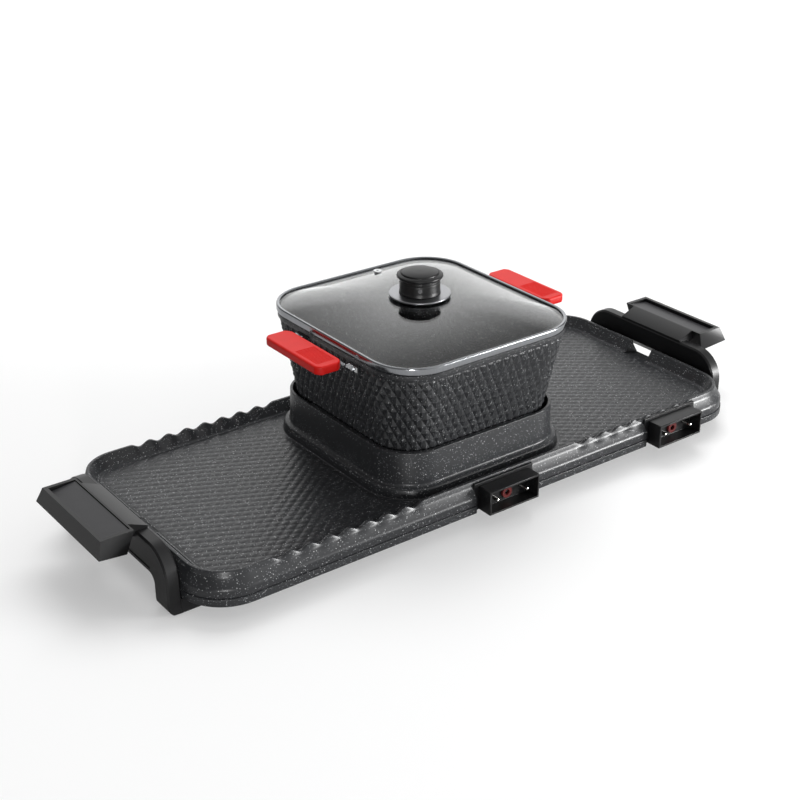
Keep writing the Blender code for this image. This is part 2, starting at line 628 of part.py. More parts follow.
def tray_casting(parent):
    """The cooking tray and its collar as one casting, one loop after another from the well outwards."""
    well_wall = -COLLAR_WALL
    ledge = -LEDGE_WIDTH
    well_middle = WELL_FILLET * FILLET_MIDDLE_SHARE
    ledge_foot_z = COLLAR_TOP_Z - LEDGE_DEPTH
    band_inner = BAND_SET - WALL_THICKNESS
    hollow_outer = (RIM_OUTER_SET - WALL_THICKNESS) / 2 + RIM_INNER_SET
    hollow_inner = -RIM_INNER_SET - FLOOR_FILLET / 2
    loops = [
        collar_loop(well_wall - WELL_FILLET, WELL_FLOOR_Z),
        collar_loop(well_wall - well_middle, WELL_FLOOR_Z + well_middle),
        collar_loop(well_wall, WELL_FLOOR_Z + WELL_FILLET),
        collar_loop(well_wall, ledge_foot_z),
        collar_loop(ledge, ledge_foot_z + LEDGE_WIDTH - COLLAR_WALL),
        collar_loop(ledge, COLLAR_TOP_Z - RIM_EDGE_ROUND),
        collar_loop(ledge + RIM_EDGE_ROUND, COLLAR_TOP_Z),
        collar_loop(-RIM_EDGE_ROUND, COLLAR_TOP_Z),
        collar_loop(0, COLLAR_TOP_Z - RIM_EDGE_ROUND),
        collar_loop(COLLAR_DRAFT, PLINTH_TOP_Z),
        collar_loop((COLLAR_DRAFT + PLINTH_SET) / 2, (PLINTH_TOP_Z + PLINTH_SHOULDER_Z) / 2 + COLLAR_DRAFT),
        collar_loop(PLINTH_SET - COLLAR_DRAFT, PLINTH_SHOULDER_Z),
        collar_loop(PLINTH_SET, FLOOR_Z + FLOOR_FILLET),
        collar_loop(PLINTH_SET + FLOOR_FILLET, FLOOR_Z),
        collar_loop(PLINTH_SET + FLOOR_FILLET + FLOOR_MARGIN, FLOOR_Z),
        tray_loop(-FLOOR_EDGE_SET - FLOOR_FILLET - FLOOR_MARGIN, FLOOR_Z),
        tray_loop(-FLOOR_EDGE_SET - FLOOR_FILLET, FLOOR_Z),
        tray_loop(-FLOOR_EDGE_SET + FLOOR_FILLET, FLOOR_Z + FLOOR_FILLET),
        tray_loop(-(FLOOR_EDGE_SET + RIM_INNER_SET) / 2, (FLOOR_Z + RIM_Z) / 2),
        tray_loop(-RIM_INNER_SET, RIM_Z - RIM_EDGE_ROUND),
        tray_loop(0, RIM_Z),
        tray_loop(RIM_OUTER_SET - RIM_EDGE_ROUND, RIM_Z),
        tray_loop(RIM_OUTER_SET, RIM_Z - RIM_EDGE_ROUND),
        tray_loop(SKIRT_NECK_SET, SKIRT_NECK_Z),
        tray_loop(SKIRT_FLARE_SET, SKIRT_FLARE_Z),
        tray_loop(SKIRT_SET, SKIRT_TOP_Z),
        tray_loop(SKIRT_SET, GROOVE_Z + GROOVE_HEIGHT / 2),
        tray_loop(SKIRT_SET - GROOVE_DEPTH, GROOVE_Z),
        tray_loop(BAND_SET, GROOVE_Z - GROOVE_HEIGHT / 2),
        tray_loop(BAND_SET, TRAY_FOOT_Z + RIM_EDGE_ROUND),
        tray_loop(BAND_SET - RIM_EDGE_ROUND, TRAY_FOOT_Z),
        tray_loop(band_inner, TRAY_FOOT_Z),
        tray_loop(SKIRT_SET - WALL_THICKNESS, GROOVE_Z + GROOVE_HEIGHT),
        tray_loop(SKIRT_SET - WALL_THICKNESS, SKIRT_TOP_Z - FLOOR_FILLET),
        tray_loop(SKIRT_FLARE_SET - WALL_THICKNESS, SKIRT_FLARE_Z - FLOOR_FILLET),
        tray_loop(hollow_outer, WALL_HOLLOW_TOP_Z),
        tray_loop(hollow_inner, WALL_HOLLOW_TOP_Z),
        tray_loop(WALL_THICKNESS - FLOOR_EDGE_SET, FLOOR_UNDER_Z + FLOOR_FILLET),
        tray_loop(-FLOOR_EDGE_SET, FLOOR_UNDER_Z),
        collar_loop(PLINTH_SET - FLOOR_THICKNESS, FLOOR_UNDER_Z),
        collar_loop(-PLINTH_UNDER_INSET, PLINTH_SHOULDER_Z),
        collar_loop(-FLOOR_THICKNESS, WELL_UNDER_Z),
    ]
    tray = solid("grill_tray", solid_from_loops(loops), parent, "stone_coat")
    join(tray, tray_additions(parent))
    cut(tray, tray_cutter(parent))
    return cut(tray, tray_top_cutter(parent))


def tray_additions(parent):
    """Spout blocks, socket lugs and screw bosses that the casting carries."""
    extra = bmesh.new()
    for side in (1, -1):
        half_width = NOTCH_WIDTH / 2 + NOTCH_SIDE_WALL
        inside = RIM_HALF_LENGTH - WALL_THICKNESS / 2
        outline = (
            (RIM_HALF_LENGTH - WALL_FILL_START, WALL_HOLLOW_TOP_Z + RIM_EDGE_ROUND),
            (RIM_HALF_LENGTH - WALL_FILL_START, NOTCH_BLOCK_FOOT_Z),
            (inside + SKIRT_SET, NOTCH_BLOCK_FOOT_Z),
            (inside + SKIRT_SET, SKIRT_TOP_Z),
            (inside + SKIRT_FLARE_SET, SKIRT_FLARE_Z),
            (inside + SKIRT_NECK_SET, WALL_HOLLOW_TOP_Z + RIM_EDGE_ROUND),
        )
        add_prism(extra, outline, -half_width, half_width, lambda u, v, w: (side * u, w, v))
        for row in (1, -1):
            add_rod(extra, (side * HANDLE_SCREW_X, row * LEG_MIDDLE_Y), HANDLE_BOSS_RADIUS,
                    TRAY_FOOT_Z, FLOOR_UNDER_Z + HANDLE_BOSS_BURY, steps=TURN_STEPS // 2)
    for centre in SOCKET_CENTRES:
        for side in (1, -1):
            outer_x = centre + side * (FLANGE_HALF_WIDTH - LUG_INSET)
            inner_x = outer_x - side * LUG_WIDTH
            low_x, high_x = sorted((inner_x, outer_x))
            add_box(extra, (low_x, -WINDOW_Y - RIM_EDGE_ROUND, FLOOR_UNDER_Z + RIM_EDGE_ROUND),
                    (high_x, -RIM_HALF_DEPTH + WALL_FILL_START, LUG_TOP_Z))
    for x, y in COVER_SCREW_PLACES:
        under = WELL_UNDER_Z if x == 0 else FLOOR_UNDER_Z
        add_rod(extra, (x, y), COVER_BOSS_RADIUS, COVER_Z + COVER_SHEET + SEAT_GAP, under + HANDLE_BOSS_BURY)
    return guide("tray_additions", extra, parent)


def tray_cutter(parent):
    """Notches, socket windows and screw holes."""
    away = bmesh.new()
    for side in (1, -1):
        inner_x = RIM_HALF_LENGTH - NOTCH_START
        outer_x = RIM_HALF_LENGTH + BAND_SET + CUT_OVERRUN
        outline = ((inner_x, FLOOR_Z - NOTCH_DROP), (outer_x, FLOOR_Z - NOTCH_FALL),
                   (outer_x, RIM_Z + CUT_OVERRUN), (inner_x, RIM_Z + CUT_OVERRUN))
        add_prism(away, outline, -NOTCH_WIDTH / 2, NOTCH_WIDTH / 2, lambda u, v, w: (side * u, w, v))
        for row in (1, -1):
            add_rod(away, (side * HANDLE_SCREW_X, row * LEG_MIDDLE_Y), HANDLE_SCREW_RADIUS + SEAT_GAP,
                    TRAY_FOOT_Z - CUT_OVERRUN, HANDLE_SCREW_TOP_Z + SEAT_GAP)
    for centre in SOCKET_CENTRES:
        half_width = FLANGE_HALF_WIDTH + SEAT_GAP
        add_box(away, (centre - half_width, -BAND_HALF_DEPTH - CUT_OVERRUN, TRAY_FOOT_Z - CUT_OVERRUN),
                (centre + half_width, -WINDOW_Y, RIM_Z + CUT_OVERRUN))
    for x, y in COVER_SCREW_PLACES:
        foot = COVER_Z + COVER_SHEET
        add_rod(away, (x, y), COVER_SCREW_RADIUS + SEAT_GAP, foot - CUT_OVERRUN,
                foot + COVER_SCREW_GRIP + SEAT_GAP)
    return guide("tray_cutter", away, parent)


def tray_top_cutter(parent):
    """The two gaps in the pot ledge and the waves along the long walls."""
    away = bmesh.new()
    for side in (1, -1):
        add_ledge_gap(away, side)
    add_scallops(away)
    return guide("tray_top_cutter", away, parent)


def add_ledge_gap(mesh_data, side):
    """The corner where the pot ledge stops: side 1 is the front right corner, -1 the back left."""
    radius = COLLAR_RADIUS - LEDGE_GAP_RIM
    half_x = COLLAR_HALF_X - LEDGE_GAP_RIM
    half_y = COLLAR_HALF_Y - LEDGE_GAP_RIM
    inner_x = half_x - radius
    inner_y = half_y - radius
    start_x = inner_x - LEDGE_GAP_RUN_X
    start_y = inner_y - LEDGE_GAP_RUN_Y
    outline = [(start_x, inner_y), (start_x, half_y)]
    for step in range(CORNER_STEPS + 1):
        angle = math.pi / 2 * (1 - step / CORNER_STEPS)
        outline.append((inner_x + radius * math.cos(angle), inner_y + radius * math.sin(angle)))
    outline += [(half_x, start_y), (inner_x, start_y)]
    low = COLLAR_TOP_Z - LEDGE_DEPTH - RIM_EDGE_ROUND
    add_prism(mesh_data, outline, low, COLLAR_TOP_Z + CUT_OVERRUN,
              lambda u, v, w: (side * u, -side * v, w))


def add_scallops(mesh_data):
    """Waves along the long walls: high points on the rim, valleys SCALLOP_DEPTH below it."""
    steps = SCALLOP_COUNT * SCALLOP_STEPS
    wave = []
    for step in range(steps + 1):
        phase = 2 * math.pi * step / SCALLOP_STEPS
        drop = SCALLOP_DEPTH * (1 - math.cos(phase)) / 2
        wave.append((SCALLOP_FIRST_X + SCALLOP_PITCH * step / SCALLOP_STEPS,
                     RIM_Z + SEAT_GAP / 2 - drop))
    last_x = wave[-1][0]
    outline = wave + [(last_x, RIM_Z + CUT_OVERRUN), (SCALLOP_FIRST_X, RIM_Z + CUT_OVERRUN)]
    inner_y = RIM_HALF_DEPTH - FLOOR_EDGE_SET
    outer_y = BAND_HALF_DEPTH + CUT_OVERRUN
    for side in (1, -1):
        for row in (1, -1):
            add_prism(mesh_data, outline, row * inner_y, row * outer_y, lambda u, v, w: (side * u, w, v))


# Handles at the tray's ends

def arch_stations():
    """Pairs of (y, z, rise) points, outside and inside of the arch, from the front foot to the back one.

    The rise lifts the edge of the bar's underside that faces the tray.
    """
    outer = [(LEG_OUTER_Y - FOOT_EDGE_CUT, HANDLE_FOOT_Z, 0), (LEG_OUTER_Y, HANDLE_FOOT_Z + FOOT_EDGE_CUT, 0)]
    inner = [(LEG_INNER_Y, HANDLE_FOOT_Z, 0), (LEG_INNER_Y, HANDLE_FOOT_Z + FOOT_EDGE_CUT, 0)]
    for step in range(SHOULDER_STEPS + 1):
        angle = math.pi / 2 * step / SHOULDER_STEPS
        outer.append((LEG_OUTER_Y - SHOULDER_RADIUS * (1 - math.cos(angle)),
                      BAR_TOP_Z - SHOULDER_RADIUS * (1 - math.sin(angle)), 0))
        inner.append((LEG_INNER_Y - ARMPIT_RADIUS * (1 - math.cos(angle)),
                      BAR_UNDER_Z - ARMPIT_RADIUS * (1 - math.sin(angle)), BAR_UNDER_RISE))
    front = [((-y, z, 0), (-v, w, rise)) for (y, z, _), (v, w, rise) in zip(outer, inner)]
    back = [((y, z, 0), (v, w, rise)) for (y, z, _), (v, w, rise) in zip(reversed(outer), reversed(inner))]
    return front + back


def arch_loops(side):
    """Chamfered cross-sections of the arched bar, one for each pair of arch points."""
    loops = []
    for outer, inner in arch_stations():
        outer_point = Vector((0, *outer[:2]))
        inner_point = Vector((0, *inner[:2]))
        rise = Vector((0, 0, inner[2]))
        step = (inner_point - outer_point).normalized() * BAR_CHAMFER
        near = Vector((side * BAR_INNER_X, 0, 0))
        far = Vector((side * BAR_OUTER_X, 0, 0))
        slip = Vector((side * BAR_CHAMFER, 0, 0))
        loops.append([
            near + slip + outer_point,
            far - slip + outer_point,
            far + outer_point + step,
            far + inner_point - step,
            far - slip + inner_point,
            near + slip + inner_point + rise,
            near + inner_point - step + rise,
            near + outer_point + step,
        ])
    return loops


def paddle_shape(side):
    """The sloped grip: its flat top, and an underside that rises outwards."""
    mesh_data = bmesh.new()
    top = []
    low = []
    for row in (1, -1):
        pair_top = [Vector((side * PADDLE_INNER_X, row * PADDLE_HALF_WIDTH, PADDLE_TOP_Z)),
                    Vector((side * PADDLE_OUTER_X, row * PADDLE_HALF_WIDTH, PADDLE_TOP_Z))]
        pair_low = [Vector((side * PADDLE_LOW_INNER_X, row * PADDLE_LOW_INNER_Y, PADDLE_LOW_INNER_Z)),
                    Vector((side * PADDLE_LOW_OUTER_X, row * PADDLE_LOW_OUTER_Y, PADDLE_LOW_OUTER_Z))]
        top += pair_top if row == 1 else list(reversed(pair_top))
        low += pair_low if row == 1 else list(reversed(pair_low))
    upper = ring_of_points(mesh_data, top)
    lower = ring_of_points(mesh_data, low)
    skin(mesh_data, lower, upper)
    mesh_data.faces.new(upper)
    mesh_data.faces.new(list(reversed(lower)))
    return mesh_data


def add_handle_web(mesh_data, side):
    """The sloped neck between the bar's top and the grip's inner edge."""
    outline = (
        (BAR_INNER_X + BAR_CHAMFER / 2, BAR_TOP_Z - BAR_CHAMFER),
        (BAR_INNER_X + BAR_CHAMFER / 2, BAR_TOP_Z + WEB_LIFT),
        (PADDLE_INNER_X, PADDLE_TOP_Z),
        (PADDLE_LOW_INNER_X, PADDLE_TOP_Z - BAR_CHAMFER),
        (PADDLE_LOW_INNER_X, PADDLE_TOP_Z - WEB_THICKNESS),
        ((BAR_INNER_X + BAR_OUTER_X) / 2, BAR_TOP_Z - WEB_THICKNESS),
        (BAR_INNER_X + BAR_CHAMFER, BAR_TOP_Z - WEB_THICKNESS),
    )
    add_prism(mesh_data, outline, -WEB_HALF_WIDTH, WEB_HALF_WIDTH, lambda u, v, w: (side * u, w, v))


def panel_outline(lift):
    """The tilted panel's edge points in x and z, raised by lift."""
    return (PADDLE_INNER_X + PANEL_BORDER / 2, PADDLE_TOP_Z - PANEL_DROP_INNER + lift,
            PADDLE_OUTER_X - PANEL_BORDER, PADDLE_TOP_Z - PANEL_DROP_OUTER + lift)


def end_handle(name, side, parent):
    """One moulding: arched bar, two legs with inward feet, web and grip."""
    handle = solid(name, solid_from_loops(arch_loops(side)), parent, "black_plastic")
    extra = bmesh.new()
    for row in (1, -1):
        low_x, high_x = sorted((side * FOOT_INNER_X, side * (BAR_INNER_X + FOOT_ENTRY)))
        low_y, high_y = sorted((row * (LEG_INNER_Y + BAR_CHAMFER / 2), row * (LEG_OUTER_Y - BAR_CHAMFER / 2)))
        add_box(extra, (low_x, low_y, HANDLE_FOOT_Z + FOOT_LIFT),
                (high_x, high_y, TRAY_FOOT_Z - SEAT_GAP))
    add_handle_web(extra, side)
    join(handle, guide(name + "_feet_and_web", extra, parent))
    join(handle, guide(name + "_paddle", paddle_shape(side), parent))
    cut(handle, handle_cutter(name, side, parent))
    return handle


def handle_cutter(name, side, parent):
    """The panel recess, bar groove, rounded toes, pad recesses and screw holes of one handle."""
    away = bmesh.new()
    inner_x, inner_z, outer_x, outer_z = panel_outline(-PANEL_THICKNESS - SEAT_GAP)
    outline = ((inner_x, inner_z), (outer_x, outer_z), (outer_x, PADDLE_TOP_Z + CUT_OVERRUN),
               (inner_x, PADDLE_TOP_Z + CUT_OVERRUN))
    half_width = PADDLE_HALF_WIDTH - PANEL_BORDER
    add_prism(away, outline, -half_width, half_width, lambda u, v, w: (side * u, w, v))
    groove_x, past_x = sorted((side * (BAR_OUTER_X - BAR_GROOVE_DEPTH), side * (BAR_OUTER_X + CUT_OVERRUN)))
    groove_y = LEG_INNER_Y - BAR_GROOVE_INSET
    groove_z = BAR_UNDER_Z + BAR_GROOVE_RISE
    add_box(away, (groove_x, -groove_y, groove_z), (past_x, groove_y, groove_z + BAR_GROOVE_WIDTH))
    toe_x = BAR_OUTER_X - TOE_RADIUS
    toe_z = HANDLE_FOOT_Z + TOE_RADIUS
    toe = [(toe_x, HANDLE_FOOT_Z - CUT_OVERRUN), (BAR_OUTER_X + CUT_OVERRUN, HANDLE_FOOT_Z - CUT_OVERRUN),
           (BAR_OUTER_X + CUT_OVERRUN, toe_z)]
    for step in range(TOE_STEPS + 1):
        angle = math.pi / 2 * step / TOE_STEPS
        toe.append((toe_x + TOE_RADIUS * math.cos(angle), toe_z - TOE_RADIUS * math.sin(angle)))
    for row in (1, -1):
        add_prism(away, toe, row * (LEG_INNER_Y - CUT_OVERRUN), row * (LEG_OUTER_Y + CUT_OVERRUN),
                  lambda u, v, w: (side * u, w, v))
        y = row * LEG_MIDDLE_Y
        add_rod(away, (side * PAD_X, y), PAD_RADIUS + SEAT_GAP, HANDLE_FOOT_Z - CUT_OVERRUN,
                HANDLE_FOOT_Z + PAD_DEPTH)
        seat_z = HANDLE_FOOT_Z + HANDLE_SCREW_SINK + HANDLE_SCREW_HEAD_HEIGHT
        add_stepped_rod(away, side * HANDLE_SCREW_X, y, (
            (HANDLE_SCREW_HEAD + SEAT_GAP, HANDLE_FOOT_Z - CUT_OVERRUN),
            (HANDLE_SCREW_HEAD + SEAT_GAP, seat_z),
            (HANDLE_SCREW_RADIUS + SEAT_GAP, seat_z),
            (HANDLE_SCREW_RADIUS + SEAT_GAP, TRAY_FOOT_Z + CUT_OVERRUN),
        ))
    return guide(name + "_cutter", away, parent)


def grip_panel(name, side, parent):
    """The thin inlay that lies tilted in the grip's recess."""
    inner_x, inner_z, outer_x, outer_z = panel_outline(0)
    inner_x += SEAT_GAP
    outer_x -= SEAT_GAP
    outline = ((inner_x, inner_z - PANEL_THICKNESS), (outer_x, outer_z - PANEL_THICKNESS),
               (outer_x, outer_z), (inner_x, inner_z))
    half_width = PADDLE_HALF_WIDTH - PANEL_BORDER - SEAT_GAP
    mesh_data = bmesh.new()
    add_prism(mesh_data, outline, -half_width, half_width, lambda u, v, w: (side * u, w, v))
    return solid(name, mesh_data, parent, "panel_plastic")


def foot_pad(name, side, row, parent):
    """A soft disc let into the underside of a leg: it carries the grill on the table."""
    mesh_data = bmesh.new()
    add_rod(mesh_data, (side * PAD_X, row * LEG_MIDDLE_Y), PAD_RADIUS, 0,
            HANDLE_FOOT_Z + PAD_DEPTH - SEAT_GAP, steps=TURN_STEPS // 2)
    return solid(name, mesh_data, parent, "black_rubber")


def upright_screw(name, x, y, head_z, head_radius, head_height, radius, top_z, parent):
    """A pan-head screw driven upwards, its head lowest."""
    edge_z = head_z + head_height * SCREW_EDGE_SHARE
    seat_z = head_z + head_height
    profile = ((0, head_z), (head_radius * SCREW_FACE_SHARE, head_z), (head_radius, edge_z),
               (head_radius, seat_z), (radius, seat_z), (radius, top_z), (0, top_z))
    mesh_data = turned(profile, SMALL_TURN_STEPS)
    bmesh.ops.translate(mesh_data, vec=(x, y, 0), verts=mesh_data.verts)
    return solid(name, mesh_data, parent, "zinc_steel")


# Heaters, cover and sockets under the tray

def bent_path(corners, bend_radius):
    """Points of a wire that runs through the corners with round bends."""
    points = [Vector(corners[0])]
    for before, corner, after in zip(corners, corners[1:], corners[2:]):
        corner = Vector(corner)
        back = (Vector(before) - corner).normalized()
        ahead = (Vector(after) - corner).normalized()
        half_turn = (math.pi - back.angle(ahead)) / 2
        reach = bend_radius * math.tan(half_turn)
        start = corner + back * reach
        end = corner + ahead * reach
        for step in range(TUBE_BEND_STEPS + 1):
            share = step / TUBE_BEND_STEPS
            points.append(start.lerp(corner, share).lerp(corner.lerp(end, share), share))
    points.append(Vector(corners[-1]))
    return points


def tube(name, points, radius, parent, coat):
    """A round tube along the points, with closed ends."""
    data = bpy.data.curves.new(name, "CURVE")
    data.dimensions = "3D"
    data.bevel_depth = radius
    data.bevel_resolution = 1
    data.use_fill_caps = True
    line = data.splines.new("POLY")
    line.points.add(len(points) - 1)
    for spot, point in zip(line.points, points):
        spot.co = (*point, 1.0)
    line.use_smooth = True
    data.materials.append(finish(coat))
    return place(bpy.data.objects.new(name, data), parent)


def grill_heater(parent):
    """One long loop: down both grill areas and twice past the well along the back wall."""
    left_pin_x = SOCKET_RIGHT_X - PIN_SPACING / 2
    right_pin_x = SOCKET_RIGHT_X + PIN_SPACING / 2
    plan = (
        (left_pin_x, -TUBE_END_Y),
        (left_pin_x, -GRILL_LOOP_FRONT_Y),
        (GRILL_LOOP_INNER_X, -GRILL_LOOP_FRONT_Y),
        (GRILL_LOOP_INNER_X, GRILL_LOOP_INNER_BACK_Y),
        (-GRILL_LOOP_INNER_X, GRILL_LOOP_INNER_BACK_Y),
        (-GRILL_LOOP_INNER_X, -GRILL_LOOP_FRONT_Y),
        (-GRILL_LOOP_OUTER_X, -GRILL_LOOP_FRONT_Y),
        (-GRILL_LOOP_OUTER_X, GRILL_LOOP_BACK_Y),
        (GRILL_LOOP_OUTER_X, GRILL_LOOP_BACK_Y),
        (GRILL_LOOP_OUTER_X, -GRILL_LOOP_FRONT_Y),
        (right_pin_x, -GRILL_LOOP_FRONT_Y),
        (right_pin_x, -TUBE_END_Y),
    )
    corners = [(x, y, TUBE_Z) for x, y in plan]
    points = bent_path(corners, TUBE_BEND_RADIUS)
    return tube("grill_heater_tube", points, TUBE_RADIUS, parent, "heater_steel")


def pot_heater(parent):
    """A ring under the well, with two ends that drop to the front socket."""
    pin_x = PIN_SPACING / 2
    open_angle = math.asin(pin_x / POT_RING_RADIUS)
    ring = []
    for step in range(POT_RING_STEPS + 1):
        angle = -math.pi / 2 - open_angle - (2 * math.pi - 2 * open_angle) * step / POT_RING_STEPS
        ring.append(Vector((POT_RING_RADIUS * math.cos(angle), POT_RING_RADIUS * math.sin(angle),
                            POT_TUBE_Z)))
    left_end = [Vector((-pin_x, -TUBE_END_Y, TUBE_Z)), Vector((-pin_x, -POT_DROP_END_Y, TUBE_Z)),
                Vector((-pin_x, -POT_DROP_START_Y, POT_TUBE_Z))]
    right_end = [Vector((pin_x, point.y, point.z)) for point in reversed(left_end)]
    points = left_end + ring + right_end
    return tube("pot_heater_tube", points, TUBE_RADIUS, parent, "heater_steel")


def heater_clamp(name, x, y, tube_z, parent):
    """A pressed saddle that holds a tube up against the casting above it."""
    top_z = tube_z + TUBE_RADIUS
    inner = TUBE_RADIUS + CLAMP_PLAY
    outer = inner + CLAMP_SHEET
    foot_z = top_z - CLAMP_SHEET
    saddle = []
    for step in range(CLAMP_STEPS + 1):
        angle = math.pi * (1 + step / CLAMP_STEPS)
        saddle.append(((outer * math.cos(angle), tube_z + outer * math.sin(angle)),
                       (inner * math.cos(angle), tube_z + inner * math.sin(angle))))
    left = [((-outer - CLAMP_FOOT, foot_z), (-outer - CLAMP_FOOT, top_z)),
            ((-outer, foot_z), (-inner, top_z))]
    right = [((-low[0], low[1]), (-high[0], high[1])) for low, high in reversed(left)]
    start = y - CLAMP_LENGTH / 2
    end = y + CLAMP_LENGTH / 2
    loops = []
    for low, high in left + saddle + right:
        loops.append([Vector((x + low[0], start, low[1])), Vector((x + high[0], start, high[1])),
                      Vector((x + high[0], end, high[1])), Vector((x + low[0], end, low[1]))])
    return solid(name, solid_from_loops(loops), parent, "zinc_steel")


def bottom_cover(parent):
    """Pressed sheet under the heaters, with a turned-up lip and vent slots."""
    top_z = COVER_Z + COVER_SHEET
    loops = [
        tray_loop(COVER_SET - COVER_SHEET, top_z),
        tray_loop(COVER_SET - COVER_SHEET, top_z + COVER_LIP),
        tray_loop(COVER_SET, top_z + COVER_LIP),
        tray_loop(COVER_SET, COVER_Z),
    ]
    cover = solid("bottom_cover", solid_from_loops(loops), parent, "zinc_steel")
    away = bmesh.new()
    low_z = COVER_Z - CUT_OVERRUN
    high_z = top_z + CUT_OVERRUN
    for side in (1, -1):
        for row in (1, -1):
            add_rod(away, (side * HANDLE_SCREW_X, row * LEG_MIDDLE_Y), COVER_RELIEF_RADIUS, low_z, high_z)
            for step in range(VENT_SLOT_ROWS):
                x = side * (COVER_SCREW_X + VENT_SLOT_PITCH * (step - (VENT_SLOT_ROWS - 1) / 2))
                y = row * VENT_SLOT_ROW_Y
                add_box(away, (x - VENT_SLOT_WIDTH / 2, y - VENT_SLOT_LENGTH / 2, low_z),
                        (x + VENT_SLOT_WIDTH / 2, y + VENT_SLOT_LENGTH / 2, high_z))
    for x, y in COVER_SCREW_PLACES:
        add_rod(away, (x, y), COVER_SCREW_RADIUS + SEAT_GAP, low_z, high_z)
    return cut(cover, guide("cover_cutter", away, parent))


def socket_housing(name, centre, parent):
    """An open-fronted box with a back wall that the pins and the probe pass through."""
    back_y = WINDOW_Y + SEAT_GAP + FLANGE_SHEET + SEAT_GAP
    mesh_data = bmesh.new()
    low = (centre - SOCKET_HALF_WIDTH, -SOCKET_FRONT_Y, SOCKET_BOTTOM_Z)
    high = (centre + SOCKET_HALF_WIDTH, -back_y, SOCKET_TOP_Z)
    add_box(mesh_data, low, high)
    bmesh.ops.bevel(mesh_data, geom=mesh_data.edges[:], offset=SOCKET_EDGE, segments=1, affect="EDGES")
    housing = solid(name, mesh_data, parent, "black_plastic")
    away = bmesh.new()
    add_box(away, (low[0] + SOCKET_WALL, -SOCKET_FRONT_Y - CUT_OVERRUN, low[2] + SOCKET_WALL),
            (high[0] - SOCKET_WALL, -back_y - SOCKET_BACK_WALL, high[2] - SOCKET_WALL))
    holes = bmesh.new()
    for x, z, radius in terminal_holes(centre, PIN_RADIUS):
        add_rod(holes, (x, z), radius + SEAT_GAP, -back_y - SOCKET_BACK_WALL - HOLE_OVERRUN,
                -back_y + CUT_OVERRUN, axis="Y")
    cut(housing, guide(name + "_hollow", away, parent))
    return cut(housing, guide(name + "_holes", holes, parent))


def terminal_holes(centre, pin_hole_radius):
    """Where the two pins and the probe sleeve pass through, with a radius for each."""
    probe_z = FLOOR_UNDER_Z - SEAT_GAP - PROBE_RADIUS
    return ((centre - PIN_SPACING / 2, TUBE_Z, pin_hole_radius),
            (centre + PIN_SPACING / 2, TUBE_Z, pin_hole_radius),
            (centre, probe_z, PROBE_RADIUS))


def socket_flange(name, centre, parent):
    """The plate that closes the window in the skirt and carries the socket."""
    mesh_data = bmesh.new()
    front_y = WINDOW_Y + SEAT_GAP + FLANGE_SHEET
    add_box(mesh_data, (centre - FLANGE_HALF_WIDTH, -front_y, FLANGE_FOOT_Z),
            (centre + FLANGE_HALF_WIDTH, -WINDOW_Y - SEAT_GAP, FLANGE_TOP_Z))
    flange = solid(name, mesh_data, parent, "black_plastic")
    away = bmesh.new()
    for x, z, radius in terminal_holes(centre, BUSH_RADIUS):
        add_rod(away, (x, z), radius + SEAT_GAP, -front_y - CUT_OVERRUN, -WINDOW_Y + CUT_OVERRUN, axis="Y")
    return cut(flange, guide(name + "_holes", away, parent))


def socket_pin(name, x, parent):
    """A round contact pin with a domed tip."""
    start = TUBE_END_Y + SEAT_GAP
    shoulder = PIN_TIP_Y - PIN_RADIUS
    profile = ((0, start), (PIN_RADIUS, start), (PIN_RADIUS, shoulder),
               (PIN_RADIUS * PIN_CROWN_SHARE, PIN_TIP_Y - PIN_RADIUS * PIN_DROP_SHARE), (0, PIN_TIP_Y))
    return solid(name, lay_along_y(turned(profile, SMALL_TURN_STEPS), x, TUBE_Z), parent, "steel")


def hollow_rod(name, x, z, radius, bore, start, end, parent, coat):
    """A straight sleeve along Y."""
    profile = ((bore, start), (radius, start), (radius, end), (bore, end))
    return solid(name, lay_along_y(turned(profile, SMALL_TURN_STEPS), x, z), parent, coat)


def sockets(parent):
    """Both inlets: housing, flange, pins, bushes, probe sleeve and seal."""
    probe_z = FLOOR_UNDER_Z - SEAT_GAP - PROBE_RADIUS
    back_wall_y = WINDOW_Y + 2 * SEAT_GAP + FLANGE_SHEET + SOCKET_BACK_WALL
    for label, centre in (("centre", SOCKET_CENTRE_X), ("right", SOCKET_RIGHT_X)):
        socket_housing("socket_housing_" + label, centre, parent)
        socket_flange("socket_flange_" + label, centre, parent)
        for hand, side in (("left", -1), ("right", 1)):
            x = centre + side * PIN_SPACING / 2
            socket_pin("socket_pin_" + label + "_" + hand, x, parent)
            hollow_rod("terminal_bush_" + label + "_" + hand, x, TUBE_Z, BUSH_RADIUS,
                       PIN_RADIUS + SEAT_GAP, BUSH_START_Y, BUSH_END_Y, parent, "ceramic")
        hollow_rod("probe_sleeve_" + label, centre, probe_z, PROBE_RADIUS, PROBE_BORE,
                   PROBE_DEEP_Y, back_wall_y, parent, "steel")
        hollow_rod("probe_seal_" + label, centre, probe_z, SEAL_RADIUS, PROBE_BORE,
                   back_wall_y + SEAT_GAP, back_wall_y + SEAT_GAP + SEAL_THICKNESS, parent, "red_silicone")


# Pot

def wall_size(z):
    """Half sizes and corner radius of the pot's wall at a height: straight sides that lean out."""
    share = (z - PATTERN_FOOT_Z) / (PATTERN_TOP_Z - PATTERN_FOOT_Z)
    return (POT_FOOT_HALF_X + (POT_TOP_HALF_X - POT_FOOT_HALF_X) * share,
            POT_FOOT_HALF_Y + (POT_TOP_HALF_Y - POT_FOOT_HALF_Y) * share,
            POT_FOOT_RADIUS + (POT_TOP_RADIUS - POT_FOOT_RADIUS) * share)


